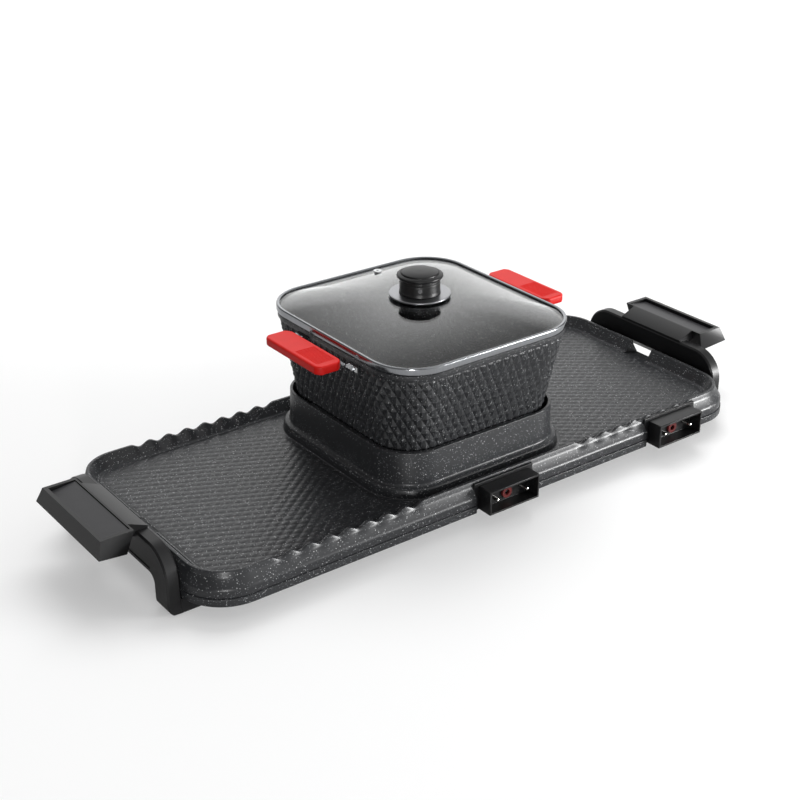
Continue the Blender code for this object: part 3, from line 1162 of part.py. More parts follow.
def even_loop(half_x, half_y, radius, z, count, raised=None):
    """Points spaced evenly round a rounded rectangle. raised(index) pushes a point outwards."""
    straight_x = half_x - radius
    straight_y = half_y - radius
    quarter = straight_x + straight_y + radius * math.pi / 2
    points = []
    for index in range(count):
        travel = 4 * quarter * index / count
        turn = int(travel // quarter)
        along = travel - turn * quarter
        first, second = (straight_y, straight_x) if turn % 2 == 0 else (straight_x, straight_y)
        lift = raised(index) if raised else 0
        if along <= first:
            spot = Vector((second + radius + lift, along, 0))
        elif along <= first + radius * math.pi / 2:
            angle = (along - first) / radius
            spot = Vector((second + (radius + lift) * math.cos(angle),
                           first + (radius + lift) * math.sin(angle), 0))
        else:
            spot = Vector((quarter - along, first + radius + lift, 0))
        spot.rotate(Matrix.Rotation(turn * math.pi / 2, 3, "Z"))
        points.append(spot + Vector((0, 0, z)))
    return points


def facet_band(mesh_data, rings):
    """Four triangles round each raised middle of the diamond pattern."""
    count = len(rings[0])
    for level in range(len(rings) - 1):
        upper = rings[level]
        lower = rings[level + 1]
        for index in range(count):
            after = (index + 1) % count
            if (index + level) % 2 == 0:
                mesh_data.faces.new((upper[index], upper[after], lower[index]))
                mesh_data.faces.new((upper[after], lower[after], lower[index]))
            else:
                mesh_data.faces.new((upper[index], lower[after], lower[index]))
                mesh_data.faces.new((upper[index], upper[after], lower[after]))


def halve(mesh_data, fine, coarse):
    """Join a loop to one that has every second of its points."""
    count = len(coarse)
    for index in range(count):
        after = (index + 1) % count
        first = fine[2 * index]
        middle = fine[2 * index + 1]
        last = fine[(2 * index + 2) % len(fine)]
        mesh_data.faces.new((coarse[index], first, middle))
        mesh_data.faces.new((coarse[index], middle, coarse[after]))
        mesh_data.faces.new((coarse[after], middle, last))


def pot_rings(mesh_data):
    """The loops of the pot: inside, lip and neck, then the pattern, then the base."""
    lip_foot_z = POT_LIP_TOP_Z - POT_LIP_HEIGHT
    edge = RIM_EDGE_ROUND

    def lip(offset, z):
        return ring_of_points(mesh_data, even_loop(
            POT_LIP_HALF_X + offset, POT_LIP_HALF_Y + offset, POT_LIP_RADIUS + offset, z, PATTERN_COLUMNS))

    def wall(offset, z, size_z):
        half_x, half_y, radius = wall_size(size_z)
        return ring_of_points(mesh_data, even_loop(
            half_x + offset, half_y + offset, radius + offset, z, PATTERN_COLUMNS))

    inside_z = POT_BASE_Z + POT_WALL
    base_middle = POT_BASE_ROUND * FILLET_MIDDLE_SHARE
    inside = [
        wall(-POT_WALL - POT_BASE_ROUND, inside_z, PATTERN_FOOT_Z),
        wall(-POT_WALL - base_middle, inside_z + base_middle, PATTERN_FOOT_Z),
        wall(-POT_WALL, inside_z + POT_BASE_ROUND, PATTERN_FOOT_Z),
        wall(-POT_WALL, PATTERN_TOP_Z, PATTERN_TOP_Z),
        wall(-POT_WALL + edge, POT_LIP_TOP_Z - edge, POT_LIP_TOP_Z),
        wall(-POT_WALL + 2 * edge, POT_LIP_TOP_Z, POT_LIP_TOP_Z),
        lip(-edge, POT_LIP_TOP_Z),
        lip(0, POT_LIP_TOP_Z - edge),
        lip(0, lip_foot_z + edge),
        lip(-edge, lip_foot_z),
        wall(edge / 2, lip_foot_z, PATTERN_TOP_Z),
    ]
    pattern = []
    for level in range(PATTERN_LEVELS + 1):
        z = PATTERN_TOP_Z - PATTERN_HEIGHT * level / PATTERN_LEVELS
        edge_level = level in (0, PATTERN_LEVELS)
        half_x, half_y, radius = wall_size(z)

        def raised(index, level=level, edge_level=edge_level):
            middle = (index + level) % 2 == 1
            return PATTERN_RELIEF if middle and not edge_level else 0

        pattern.append(ring_of_points(mesh_data, even_loop(
            half_x, half_y, radius, z, 2 * PATTERN_COLUMNS, raised)))
    base = [
        wall(-POT_BASE_ROUND * BASE_IN_SHARE, POT_BASE_Z + POT_BASE_ROUND * BASE_UP_SHARE, PATTERN_FOOT_Z),
        wall(-POT_BASE_ROUND / 2, POT_BASE_Z + POT_BASE_ROUND * BASE_LOW_SHARE, PATTERN_FOOT_Z),
        wall(-POT_BASE_ROUND, POT_BASE_Z, PATTERN_FOOT_Z),
    ]
    return inside, pattern, base


def cook_pot(parent):
    """The cast pot: one skin from the inside over the lip, down the faceted wall and under the base."""
    mesh_data = bmesh.new()
    inside, pattern, base = pot_rings(mesh_data)
    for inner, outer in zip(inside, inside[1:]):
        skin(mesh_data, inner, outer)
    halve(mesh_data, pattern[0], inside[-1])
    facet_band(mesh_data, pattern)
    halve(mesh_data, pattern[-1], base[0])
    for inner, outer in zip(base, base[1:]):
        skin(mesh_data, inner, outer)
    mesh_data.faces.new(inside[0])
    mesh_data.faces.new(list(reversed(base[-1])))
    pot = solid("cook_pot", mesh_data, parent, "stone_coat")
    pads = bmesh.new()
    holes = bmesh.new()
    for side in (1, -1):
        for row in (1, -1):
            low_x, high_x = sorted((side * (POT_TOP_HALF_X - POT_WALL / 2), side * BRACKET_PAD_X))
            low_y, high_y = sorted((row * (BRACKET_ARM_Y - BRACKET_SHEET),
                                    row * (BRACKET_ARM_Y + BRACKET_FOOT_LENGTH)))
            add_box(pads, (low_x, low_y, BRACKET_FOOT_Z - BRACKET_PAD_HEIGHT / 2),
                    (high_x, high_y, BRACKET_FOOT_Z + BRACKET_PAD_HEIGHT / 2))
            add_cross_rod(holes, side, row * bracket_screw_y(), BRACKET_FOOT_Z,
                          BRACKET_SCREW_RADIUS + SEAT_GAP,
                          BRACKET_PAD_X - BRACKET_SCREW_DEPTH - SEAT_GAP, BRACKET_PAD_X + CUT_OVERRUN)
    join(pot, guide("bracket_pads", pads, parent))
    return cut(pot, guide("bracket_pad_holes", holes, parent))


def bracket_screw_y():
    """The middle of a bracket's foot."""
    return BRACKET_ARM_Y + BRACKET_SHEET + (BRACKET_FOOT_LENGTH - BRACKET_SHEET) / 2


def add_cross_rod(mesh_data, side, y, z, radius, start, end):
    """A round rod along X on one side of the pot."""
    add_prism(mesh_data, circle(radius, SMALL_TURN_STEPS), side * start, side * end,
              lambda u, v, w: (w, y + u, z + v))


def bracket_path(side):
    """Middle line of the bracket strap: foot, arm, crossbar, arm, foot, with a height for each point."""
    foot_x = BRACKET_PAD_X + SEAT_GAP + BRACKET_SHEET / 2
    half = [
        (foot_x, BRACKET_ARM_Y + BRACKET_FOOT_LENGTH, BRACKET_FOOT_Z),
        (foot_x, BRACKET_ARM_Y, BRACKET_FOOT_Z),
        (foot_x + BRACKET_BEND_X, BRACKET_ARM_Y, BRACKET_FOOT_Z),
        (GRIP_INNER_X, BRACKET_ARM_Y, BRACKET_BAR_Z),
        (BRACKET_REACH_X, BRACKET_ARM_Y, BRACKET_BAR_Z),
    ]
    other = [(x, -y, z) for x, y, z in reversed(half)]
    return [Vector((side * x, y, z)) for x, y, z in half + other]


def add_strap(mesh_data, points, sheet, height):
    """An upright strap of flat bar along the points, mitred at its bends."""
    loops = []
    for index, point in enumerate(points):
        before = points[max(index - 1, 0)]
        after = points[min(index + 1, len(points) - 1)]
        run_in = Vector((point.x - before.x, point.y - before.y)) if index else None
        run_out = Vector((after.x - point.x, after.y - point.y)) if index < len(points) - 1 else None
        first = (run_in or run_out).normalized()
        second = (run_out or run_in).normalized()
        normal = Vector((-first.y - second.y, first.x + second.x)).normalized()
        reach = sheet / 2 / max(normal.dot(Vector((-first.y, first.x))), MITRE_FLOOR)
        aside = Vector((normal.x * reach, normal.y * reach, 0))
        rise = Vector((0, 0, height / 2))
        loops.append([point + aside + rise, point - aside + rise, point - aside - rise, point + aside - rise])
    rings = [ring_of_points(mesh_data, loop) for loop in loops]
    for inner, outer in zip(rings, rings[1:]):
        skin(mesh_data, inner, outer)
    mesh_data.faces.new(rings[0])
    mesh_data.faces.new(list(reversed(rings[-1])))


def pot_bracket(name, side, parent):
    """Bent steel strap, screwed to the pot at both feet."""
    mesh_data = bmesh.new()
    add_strap(mesh_data, bracket_path(side), BRACKET_SHEET, BRACKET_HEIGHT)
    bracket = solid(name, mesh_data, parent, "steel")
    away = bmesh.new()
    for row in (1, -1):
        add_cross_rod(away, side, row * bracket_screw_y(), BRACKET_FOOT_Z, BRACKET_SCREW_RADIUS + SEAT_GAP,
                      BRACKET_PAD_X - CUT_OVERRUN, BRACKET_PAD_X + BRACKET_SHEET + CUT_OVERRUN)
    return cut(bracket, guide(name + "_holes", away, parent))


def bracket_screw(name, side, row, parent):
    """Pan-head screw that holds a bracket foot to its pad."""
    head = BRACKET_PAD_X + 2 * SEAT_GAP + BRACKET_SHEET
    end = head + BRACKET_SCREW_HEAD_HEIGHT
    tip = BRACKET_PAD_X - BRACKET_SCREW_DEPTH
    profile = ((0, tip), (BRACKET_SCREW_RADIUS, tip), (BRACKET_SCREW_RADIUS, head),
               (BRACKET_SCREW_HEAD, head), (BRACKET_SCREW_HEAD * SCREW_CROWN_SHARE, end), (0, end))
    mesh_data = turned(profile, SMALL_TURN_STEPS)
    turn = Matrix.Translation((0, row * bracket_screw_y(), BRACKET_FOOT_Z))
    turn = turn @ Matrix.Rotation(side * math.pi / 2, 4, "Y")
    bmesh.ops.transform(mesh_data, matrix=turn, verts=mesh_data.verts)
    return solid(name, mesh_data, parent, "zinc_steel")


def pot_grip(name, side, parent):
    """Silicone grip with cut corners and a ribbed front half, moulded over the bracket's crossbar."""
    width = GRIP_HALF_WIDTH
    half = [
        (GRIP_INNER_X, -width + GRIP_INNER_CUT), (GRIP_INNER_X + GRIP_INNER_CUT, -width),
        (GRIP_OUTER_X - GRIP_OUTER_CUT, -width), (GRIP_OUTER_X, -width + GRIP_OUTER_CUT),
    ]
    plan = half + [(x, -y) for x, y in reversed(half)]
    mesh_data = bmesh.new()
    add_prism(mesh_data, plan, GRIP_FOOT_Z, GRIP_TOP_Z, lambda u, v, w: (side * u, v, w))
    bmesh.ops.bevel(mesh_data, geom=mesh_data.edges[:], offset=GRIP_EDGE_ROUND, segments=GRIP_EDGE_STEPS,
                    affect="EDGES", profile=GRIP_EDGE_PROFILE)
    grip = solid(name, mesh_data, parent, "red_silicone")
    away = bmesh.new()
    start_x = GRIP_INNER_X - CUT_OVERRUN
    half = [(start_x, BRACKET_ARM_Y, BRACKET_BAR_Z), (BRACKET_REACH_X, BRACKET_ARM_Y, BRACKET_BAR_Z)]
    path = half + [(x, -y, z) for x, y, z in reversed(half)]
    add_strap(away, [Vector((side * x, y, z)) for x, y, z in path],
              BRACKET_SHEET + 2 * SEAT_GAP, BRACKET_HEIGHT + 2 * SEAT_GAP)
    for groove in range(GRIP_RIB_GROOVES):
        back_y = -GRIP_RIB_START - groove * GRIP_RIB_PITCH
        low_x, high_x = sorted((side * (GRIP_INNER_X + GRIP_RIB_BORDER),
                                side * (GRIP_OUTER_X - GRIP_RIB_BORDER)))
        add_box(away, (low_x, back_y - GRIP_GROOVE_WIDTH, GRIP_TOP_Z - GRIP_GROOVE_DEPTH),
                (high_x, back_y, GRIP_TOP_Z + CUT_OVERRUN))
    return cut(grip, guide(name + "_slot_and_ribs", away, parent))


# Lid

def lid_loop(offset, z):
    """The lid's outer rectangle grown by offset."""
    return rounded_loop(LID_HALF_X + offset, LID_HALF_Y + offset, LID_RADIUS + offset, z)


def lid_rim(parent):
    """Rolled steel channel round the edge of the glass."""
    sheet = LID_RIM_SHEET
    top_z = LID_FOOT_Z + LID_RIM_HEIGHT
    glass_half = GLASS_THICKNESS / 2 + SEAT_GAP
    loops = [
        lid_loop(-LID_RIM_LIP, LID_FOOT_Z),
        lid_loop(-sheet, LID_FOOT_Z),
        lid_loop(0, LID_FOOT_Z + sheet),
        lid_loop(0, top_z - 2 * sheet),
        lid_loop(-sheet / 2, top_z - sheet / 2),
        lid_loop(-2 * sheet, top_z),
        lid_loop(-LID_RIM_LIP, GLASS_EDGE_Z + glass_half + sheet),
        lid_loop(-LID_RIM_LIP, GLASS_EDGE_Z + glass_half),
        lid_loop(-2 * sheet + SEAT_GAP, GLASS_EDGE_Z + glass_half),
        lid_loop(-2 * sheet + SEAT_GAP, GLASS_EDGE_Z - glass_half),
        lid_loop(-LID_RIM_LIP, GLASS_EDGE_Z - glass_half),
    ]
    return solid("lid_rim", solid_from_loops(loops, closed_section=True), parent, "steel")


def glass_side(level_z):
    """Loops from the edge of the glass to the knob's seat: the dome falls with the square of the distance."""
    seat = GLASS_SEAT_RADIUS
    half_x = LID_HALF_X - GLASS_FLAT_EDGE
    half_y = LID_HALF_Y - GLASS_FLAT_EDGE
    radius = LID_RADIUS - GLASS_FLAT_EDGE
    loops = [lid_loop(-2 * LID_RIM_SHEET, level_z)]
    for step in range(GLASS_LOOPS + 1):
        share = 1 - step / GLASS_LOOPS
        size_x = seat + (half_x - seat) * share
        size_y = seat + (half_y - seat) * share
        corner = min(seat + (radius - seat) * share, size_x, size_y)
        loops.append(rounded_loop(size_x, size_y, corner, level_z + GLASS_RISE * (1 - share * share)))
    loops.append(rounded_loop(KNOB_BORE, KNOB_BORE, KNOB_BORE, level_z + GLASS_RISE))
    return loops


def lid_glass(parent):
    """Domed tempered glass with a bore for the knob and one for the steam grommet."""
    upper = glass_side(GLASS_EDGE_Z + GLASS_THICKNESS / 2)
    lower = glass_side(GLASS_EDGE_Z - GLASS_THICKNESS / 2)
    loops = list(reversed(upper)) + lower
    glass = solid("lid_glass", solid_from_loops(loops, closed_section=True), parent, "clear_glass")
    away = bmesh.new()
    add_rod(away, (VENT_X, VENT_Y), VENT_RADIUS + SEAT_GAP, GLASS_EDGE_Z - GLASS_THICKNESS,
            GLASS_TOP_Z + CUT_OVERRUN)
    return cut(glass, guide("vent_hole", away, parent))


def glass_height(x, y):
    """Top of the glass over a point, from the share of the way to the edge."""
    seat = GLASS_SEAT_RADIUS
    share_x = (abs(x) - seat) / (LID_HALF_X - GLASS_FLAT_EDGE - seat)
    share_y = (abs(y) - seat) / (LID_HALF_Y - GLASS_FLAT_EDGE - seat)
    share = min(max(share_x, share_y, 0), 1)
    return GLASS_TOP_Z - GLASS_RISE * share * share


def vent_grommet(parent):
    """Steel eyelet in the glass: a flange above and below, and a steam bore."""
    top_z = glass_height(VENT_X, VENT_Y + VENT_RADIUS)
    high_z = glass_height(VENT_X, VENT_Y - VENT_RADIUS) + SEAT_GAP
    low_z = top_z - GLASS_THICKNESS - 2 * SEAT_GAP
    outer = VENT_RADIUS + VENT_FLANGE
    high_z = max(high_z, glass_height(VENT_X, VENT_Y - outer) + SEAT_GAP)
    low_z = min(low_z, glass_height(VENT_X, VENT_Y + outer) - GLASS_THICKNESS - SEAT_GAP)
    profile = (
        (VENT_BORE, low_z - VENT_FLANGE / 2), (outer - VENT_BORE / 2, low_z - VENT_FLANGE / 2),
        (outer, low_z),
        (VENT_RADIUS, low_z), (VENT_RADIUS, high_z), (outer, high_z),
        (outer - VENT_BORE / 2, high_z + VENT_FLANGE / 2), (VENT_BORE, high_z + VENT_FLANGE / 2),
    )
    mesh_data = turned(profile, SMALL_TURN_STEPS)
    bmesh.ops.translate(mesh_data, vec=(VENT_X, VENT_Y, 0), verts=mesh_data.verts)
    return solid("lid_vent_grommet", mesh_data, parent, "steel")


def knob(parent):
    """Flange, neck, cap, the washer under the glass and the screw that holds them."""
    flange_top = KNOB_Z + KNOB_FLANGE_THICKNESS
    edge = KNOB_FLANGE_EDGE
    flange = (
        (KNOB_BORE, KNOB_Z), (KNOB_FLANGE_RADIUS - edge, KNOB_Z), (KNOB_FLANGE_RADIUS, KNOB_Z + edge),
        (KNOB_FLANGE_RADIUS, flange_top - edge), (KNOB_FLANGE_RADIUS - edge, flange_top),
        (KNOB_BORE, flange_top),
    )
    solid("knob_flange", turned(flange), parent, "steel")

    neck_foot = flange_top + SEAT_GAP
    neck_top = neck_foot + KNOB_NECK_HEIGHT
    bore_top = neck_foot + KNOB_SCREW_REACH + SEAT_GAP
    neck = (
        (0, bore_top), (KNOB_BORE, bore_top), (KNOB_BORE, neck_foot), (KNOB_NECK_RADIUS, neck_foot),
        (KNOB_NECK_RADIUS, neck_top), (0, neck_top),
    )
    solid("knob_neck", turned(neck), parent, "black_plastic")

    cap_foot = neck_top + SEAT_GAP
    cap_edge = cap_foot + KNOB_CAP_EDGE
    inner = KNOB_CAP_RADIUS - KNOB_CAP_LEDGE
    disc_z = cap_edge + KNOB_CAP_STEP
    cap = [(0, cap_foot), (KNOB_CAP_RADIUS - KNOB_CAP_CHAMFER, cap_foot),
           (KNOB_CAP_RADIUS, cap_foot + KNOB_CAP_CHAMFER), (KNOB_CAP_RADIUS, cap_edge - KNOB_CAP_CHAMFER),
           (KNOB_CAP_RADIUS - KNOB_CAP_CHAMFER, cap_edge), (inner, cap_edge)]
    dome_steps = KNOB_DOME_STEPS
    for step in range(dome_steps):
        angle = math.pi / 2 * step / dome_steps
        cap.append((inner * math.cos(angle), disc_z + KNOB_CAP_DOME * math.sin(angle)))
    cap.append((0, disc_z + KNOB_CAP_DOME))
    solid("knob_cap", turned(cap), parent, "black_plastic")

    glass_under = GLASS_TOP_Z - GLASS_THICKNESS
    washer_top = glass_under - SEAT_GAP
    washer_foot = washer_top - KNOB_WASHER_THICKNESS
    bevel = KNOB_WASHER_EDGE
    washer = (
        (KNOB_BORE, washer_foot), (KNOB_WASHER_RADIUS - bevel, washer_foot),
        (KNOB_WASHER_RADIUS, washer_foot + bevel), (KNOB_WASHER_RADIUS, washer_top), (KNOB_BORE, washer_top),
    )
    solid("knob_washer", turned(washer), parent, "black_plastic")

    head_z = washer_foot - SEAT_GAP - KNOB_SCREW_HEAD_HEIGHT
    upright_screw("knob_screw", 0, 0, head_z, KNOB_SCREW_HEAD, KNOB_SCREW_HEAD_HEIGHT, KNOB_SCREW_RADIUS,
                  neck_foot + KNOB_SCREW_REACH, parent)


def grill_group(parent):
    """Everything that stays on the table."""
    tray_casting(parent)
    grill_heater(parent)
    pot_heater(parent)
    clamp_places = (
        ("outer_left", -GRILL_LOOP_OUTER_X, CLAMP_Y, TUBE_Z),
        ("inner_left", -GRILL_LOOP_INNER_X, CLAMP_Y, TUBE_Z),
        ("inner_right", GRILL_LOOP_INNER_X, CLAMP_Y, TUBE_Z),
        ("outer_right", GRILL_LOOP_OUTER_X, CLAMP_Y, TUBE_Z),
        ("pot_left", -POT_RING_RADIUS, 0, POT_TUBE_Z),
        ("pot_right", POT_RING_RADIUS, 0, POT_TUBE_Z),
    )
    for label, x, y, tube_z in clamp_places:
        heater_clamp("heater_clamp_" + label, x, y, tube_z, parent)
    bottom_cover(parent)
    cover_head_z = COVER_Z - SEAT_GAP - COVER_SCREW_HEAD_HEIGHT
    for label, (x, y) in zip(("right", "left", "back", "front"), COVER_SCREW_PLACES):
        upright_screw("cover_screw_" + label, x, y, cover_head_z, COVER_SCREW_HEAD, COVER_SCREW_HEAD_HEIGHT,
                      COVER_SCREW_RADIUS, COVER_Z + COVER_SHEET + COVER_SCREW_GRIP, parent)
    for hand, side in (("left", -1), ("right", 1)):
        end_handle("end_handle_" + hand, side, parent)
        grip_panel("grip_panel_" + hand, side, parent)
        for end, row in (("front", -1), ("back", 1)):
            foot_pad("foot_pad_" + hand + "_" + end, side, row, parent)
            upright_screw("handle_screw_" + hand + "_" + end, side * HANDLE_SCREW_X, row * LEG_MIDDLE_Y,
                          HANDLE_FOOT_Z + HANDLE_SCREW_SINK - SEAT_GAP, HANDLE_SCREW_HEAD,
                          HANDLE_SCREW_HEAD_HEIGHT, HANDLE_SCREW_RADIUS, HANDLE_SCREW_TOP_Z, parent)
    sockets(parent)


def pot_group(parent):
    """The pot with its brackets, grips and screws."""
    cook_pot(parent)
    for hand, side in (("left", -1), ("right", 1)):
        pot_bracket("pot_bracket_" + hand, side, parent)
        pot_grip("pot_grip_" + hand, side, parent)
        for end, row in (("front", -1), ("back", 1)):
            bracket_screw("bracket_screw_" + hand + "_" + end, side, row, parent)


def lid_group(parent):
    """The glass lid with its rim, grommet and knob."""
    lid_rim(parent)
    lid_glass(parent)
    vent_grommet(parent)
    knob(parent)


def empty(name, parent, location=(0, 0, 0)):
    """An empty that carries a group."""
    made = bpy.data.objects.new(name, None)
    made.location = location
    return place(made, parent)


def main():
    """Build the grill, the pot on its lifting axis and the lid on its own."""
    clear_scene()
    grill = empty("grill_frame", None, (0, CENTRE_Y, 0))
    pot = empty("pot_frame", grill)
    lid = empty("lid_frame", pot)
    grill_group(grill)
    pot_group(pot)
    lid_group(lid)


main()
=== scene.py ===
"""Looks for a long electric grill with a lift-off hot pot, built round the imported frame.

Lengths are in metres unless a name ends in _mm. X runs along the tray, the sockets face -Y, Z is up.
"""

import logging
import math
from dataclasses import dataclass
from enum import Enum
from typing import Any, Iterable

import bmesh
import bpy
import numpy as np
from mathutils import Matrix, Vector


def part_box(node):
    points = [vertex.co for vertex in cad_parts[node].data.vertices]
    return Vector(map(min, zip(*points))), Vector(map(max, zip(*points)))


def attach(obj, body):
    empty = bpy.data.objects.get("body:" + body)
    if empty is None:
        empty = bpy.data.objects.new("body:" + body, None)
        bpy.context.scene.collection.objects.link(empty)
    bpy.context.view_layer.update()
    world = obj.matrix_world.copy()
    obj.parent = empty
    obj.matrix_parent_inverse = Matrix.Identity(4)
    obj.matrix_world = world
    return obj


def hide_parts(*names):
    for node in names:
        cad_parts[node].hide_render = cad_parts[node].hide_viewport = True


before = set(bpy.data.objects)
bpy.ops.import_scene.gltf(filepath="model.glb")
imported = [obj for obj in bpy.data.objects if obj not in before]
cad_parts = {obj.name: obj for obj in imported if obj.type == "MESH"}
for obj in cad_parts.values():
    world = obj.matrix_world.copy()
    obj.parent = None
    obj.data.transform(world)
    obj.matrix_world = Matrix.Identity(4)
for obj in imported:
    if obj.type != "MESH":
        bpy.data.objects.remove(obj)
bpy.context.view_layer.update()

MM = 0.001
# Metres below which a side has no direction, two profile points are one, and packed corners merge.
TINY = 1e-9
SAME_POINT = 1e-6
MERGED = 1e-5
# Edges that turn by more than this stay crisp: on most pieces, on mouldings, on rolled and pressed forms,
# and on the pot, where every ridge between two diamond faces counts.
PLAIN_DEGREES = 38.0
MOULDED_DEGREES = 40.0
ROLLED_DEGREES = 50.0
FACET_DEGREES = 9.0
# Packed faces that meet flatter than this become one.
FLAT_DEGREES = 1.0
BEVEL_STEPS = 2
TURN_STEPS = 80
# Faces of a box whose corners are numbered depth * 4 + width * 2 + height.
BOX_FACES = np.array([(0, 1, 3, 2), (4, 6, 7, 5), (0, 4, 5, 1), (2, 3, 7, 6), (0, 2, 6, 4), (1, 5, 7, 3)])

log = logging.getLogger("hot_pot_grill")


def linear(code: str) -> tuple[float, float, float, float]:
    """Turn an sRGB hex code into linear light: c / 12.92 when dark, else ((c + 0.055) / 1.055) ^ 2.4.

    Args:
        code: six hex digits after a hash.

    Returns:
        Red, green, blue and an alpha of one.
    """
    parts = [int(code[start:start + 2], 16) / 255 for start in (1, 3, 5)]
    light = [part / 12.92 if part <= 0.04045 else ((part + 0.055) / 1.055) ** 2.4 for part in parts]
    return (light[0], light[1], light[2], 1.0)


def add_node(tree: bpy.types.NodeTree, kind: str, settings: dict[str, Any] | None = None,
             links: dict[Any, Any] | None = None) -> bpy.types.Node:
    """Add one node, set its properties and sockets, and link its inputs.

    Args:
        tree: the node tree that gets the node.
        kind: the node's type, without its ShaderNode prefix.
        settings: property names, socket names or socket numbers with their values.
        links: socket names or numbers with the output sockets that feed them.

    Returns:
        The new node.
    """
    node = tree.nodes.new("ShaderNode" + kind)
    for key, value in (settings or {}).items():
        if isinstance(key, str) and hasattr(node, key):
            setattr(node, key, value)
        else:
            node.inputs[key].default_value = value
    for key, source in (links or {}).items():
        tree.links.new(source, node.inputs[key])
    return node


def fresh_material(name: str) -> tuple[bpy.types.Material, bpy.types.NodeTree, bpy.types.NodeSocket]:
    """Start a material with nothing in it but the surface's own coordinates.

    Args:
        name: the material's name.

    Returns:
        The material, its node tree and the Object coordinates.
    """
    material = bpy.data.materials.new(name)
    material.use_nodes = True
    tree = material.node_tree
    tree.nodes.clear()
    place = add_node(tree, "TexCoord").outputs["Object"]
    return material, tree, place


def close_material(tree: bpy.types.NodeTree, settings: dict[str, Any], links: dict[str, Any]) -> None:
    """End a material in one Principled surface.

    Args:
        tree: the node tree.
        settings: values set straight on the surface's sockets.
        links: outputs that feed its sockets.
    """
    surface = add_node(tree, "BsdfPrincipled", settings, links)
    add_node(tree, "OutputMaterial", links={"Surface": surface.outputs["BSDF"]})


def per_metre(pattern_mm: float) -> float:
    """Texture scale at which one pattern cell is so many millimetres."""
    return 1.0 / (pattern_mm * MM)


@dataclass(frozen=True)
class StoneCoat:
    """Sprayed stone-effect non-stick coating, baked on cast aluminium: satin black with pale flecks.

    A fleck or a grain of dust lies in each cell whose random value is over the rarity. It is full up to
    speck_core of its reach and gone at its reach, a share of the cell. Both are a little coarser than real
    ones, so that they show in the render.
    """

    name: str = "sprayed_stone_coat"
    ground: str = "#242527"
    cloud: str = "#2c2d2f"
    cloud_mm: float = 18.0
    fleck: str = "#e4e5e6"
    fleck_cell_mm: float = 2.5
    fleck_reach: float = 0.165
    fleck_rarity: float = 0.40
    dust: str = "#8d8f92"
    dust_cell_mm: float = 1.6
    dust_reach: float = 0.25
    dust_rarity: float = 0.45
    speck_core: float = 0.6
    grain_mm: float = 0.9
    relief_mm: float = 0.08
    relief_strength: float = 0.25
    roughness: float = 0.34
    ior: float = 1.45

    def build(self) -> bpy.types.Material:
        """Lay the ground colour, large pale flecks and finer grey dust, and a fine spray grain."""
        material, tree, place = fresh_material(self.name)
        cloud = add_node(tree, "TexNoise", {"Scale": per_metre(self.cloud_mm), "Detail": 3.0},
                         {"Vector": place})
        ground = add_node(tree, "Mix", {"data_type": "RGBA", 6: linear(self.ground), 7: linear(self.cloud)},
                          {0: cloud.outputs["Fac"]})
        colour = ground.outputs[2]
        for cell_mm, reach, rarity, tint in (
                (self.dust_cell_mm, self.dust_reach, self.dust_rarity, self.dust),
                (self.fleck_cell_mm, self.fleck_reach, self.fleck_rarity, self.fleck)):
            cells = add_node(tree, "TexVoronoi", {"Scale": per_metre(cell_mm)}, {"Vector": place})
            spot = add_node(tree, "MapRange", {"From Min": reach, "From Max": reach * self.speck_core},
                            {"Value": cells.outputs["Distance"]})
            pick = add_node(tree, "SeparateColor", links={"Color": cells.outputs["Color"]})
            chosen = add_node(tree, "Math", {"operation": "GREATER_THAN", 1: rarity},
                              {0: pick.outputs["Red"]})
            shown = add_node(tree, "Math", {"operation": "MULTIPLY"},
                             {0: spot.outputs["Result"], 1: chosen.outputs["Value"]})
            colour = add_node(tree, "Mix", {"data_type": "RGBA", 7: linear(tint)},
                              {0: shown.outputs["Value"], 6: colour}).outputs[2]
        grain = add_node(tree, "TexNoise", {"Scale": per_metre(self.grain_mm), "Detail": 2.0},
                         {"Vector": place})
        bump = add_node(tree, "Bump", {"Strength": self.relief_strength, "Distance": self.relief_mm * MM},
                        {"Height": grain.outputs["Fac"]})
        close_material(tree, {"Roughness": self.roughness, "IOR": self.ior},
                       {"Base Color": colour, "Normal": bump.outputs["Normal"]})
        return material


@dataclass(frozen=True)
class MouldedFinish:
    """Moulded plastic, rubber or silicone: one colour that drifts a little, with a fine tool texture.

    The grain is coarser than a real tool's, as coarse as it needs to be to show.
    """

    name: str
    dark: str
    light: str
    roughness: float
    ior: float
    grain_mm: float
    relief_mm: float
    soft: float = 0.0
    soft_mm: float = 1.5
    drift_mm: float = 12.0
    glossier: float = 0.04
    duller: float = 0.05
    relief_strength: float = 0.3

    def build(self) -> bpy.types.Material:
        """Mix two close tones by slow noise, and press a fine grain in the surface."""
        material, tree, place = fresh_material(self.name)
        drift = add_node(tree, "TexNoise", {"Scale": per_metre(self.drift_mm), "Detail": 2.0},
                         {"Vector": place})
        colour = add_node(tree, "Mix", {"data_type": "RGBA", 6: linear(self.dark), 7: linear(self.light)},
                          {0: drift.outputs["Fac"]})
        grain = add_node(tree, "TexNoise", {"Scale": per_metre(self.grain_mm), "Detail": 3.0},
                         {"Vector": place})
        wear = add_node(tree, "MapRange", {"To Min": self.roughness - self.glossier,
                                           "To Max": self.roughness + self.duller},
                        {"Value": grain.outputs["Fac"]})
        bump = add_node(tree, "Bump", {"Strength": self.relief_strength, "Distance": self.relief_mm * MM},
                        {"Height": grain.outputs["Fac"]})
        close_material(tree, {"IOR": self.ior, "Subsurface Weight": self.soft,
                              "Subsurface Scale": self.soft_mm * MM},
                       {"Base Color": colour.outputs[2], "Roughness": wear.outputs["Result"],
                        "Normal": bump.outputs["Normal"]})
        return material


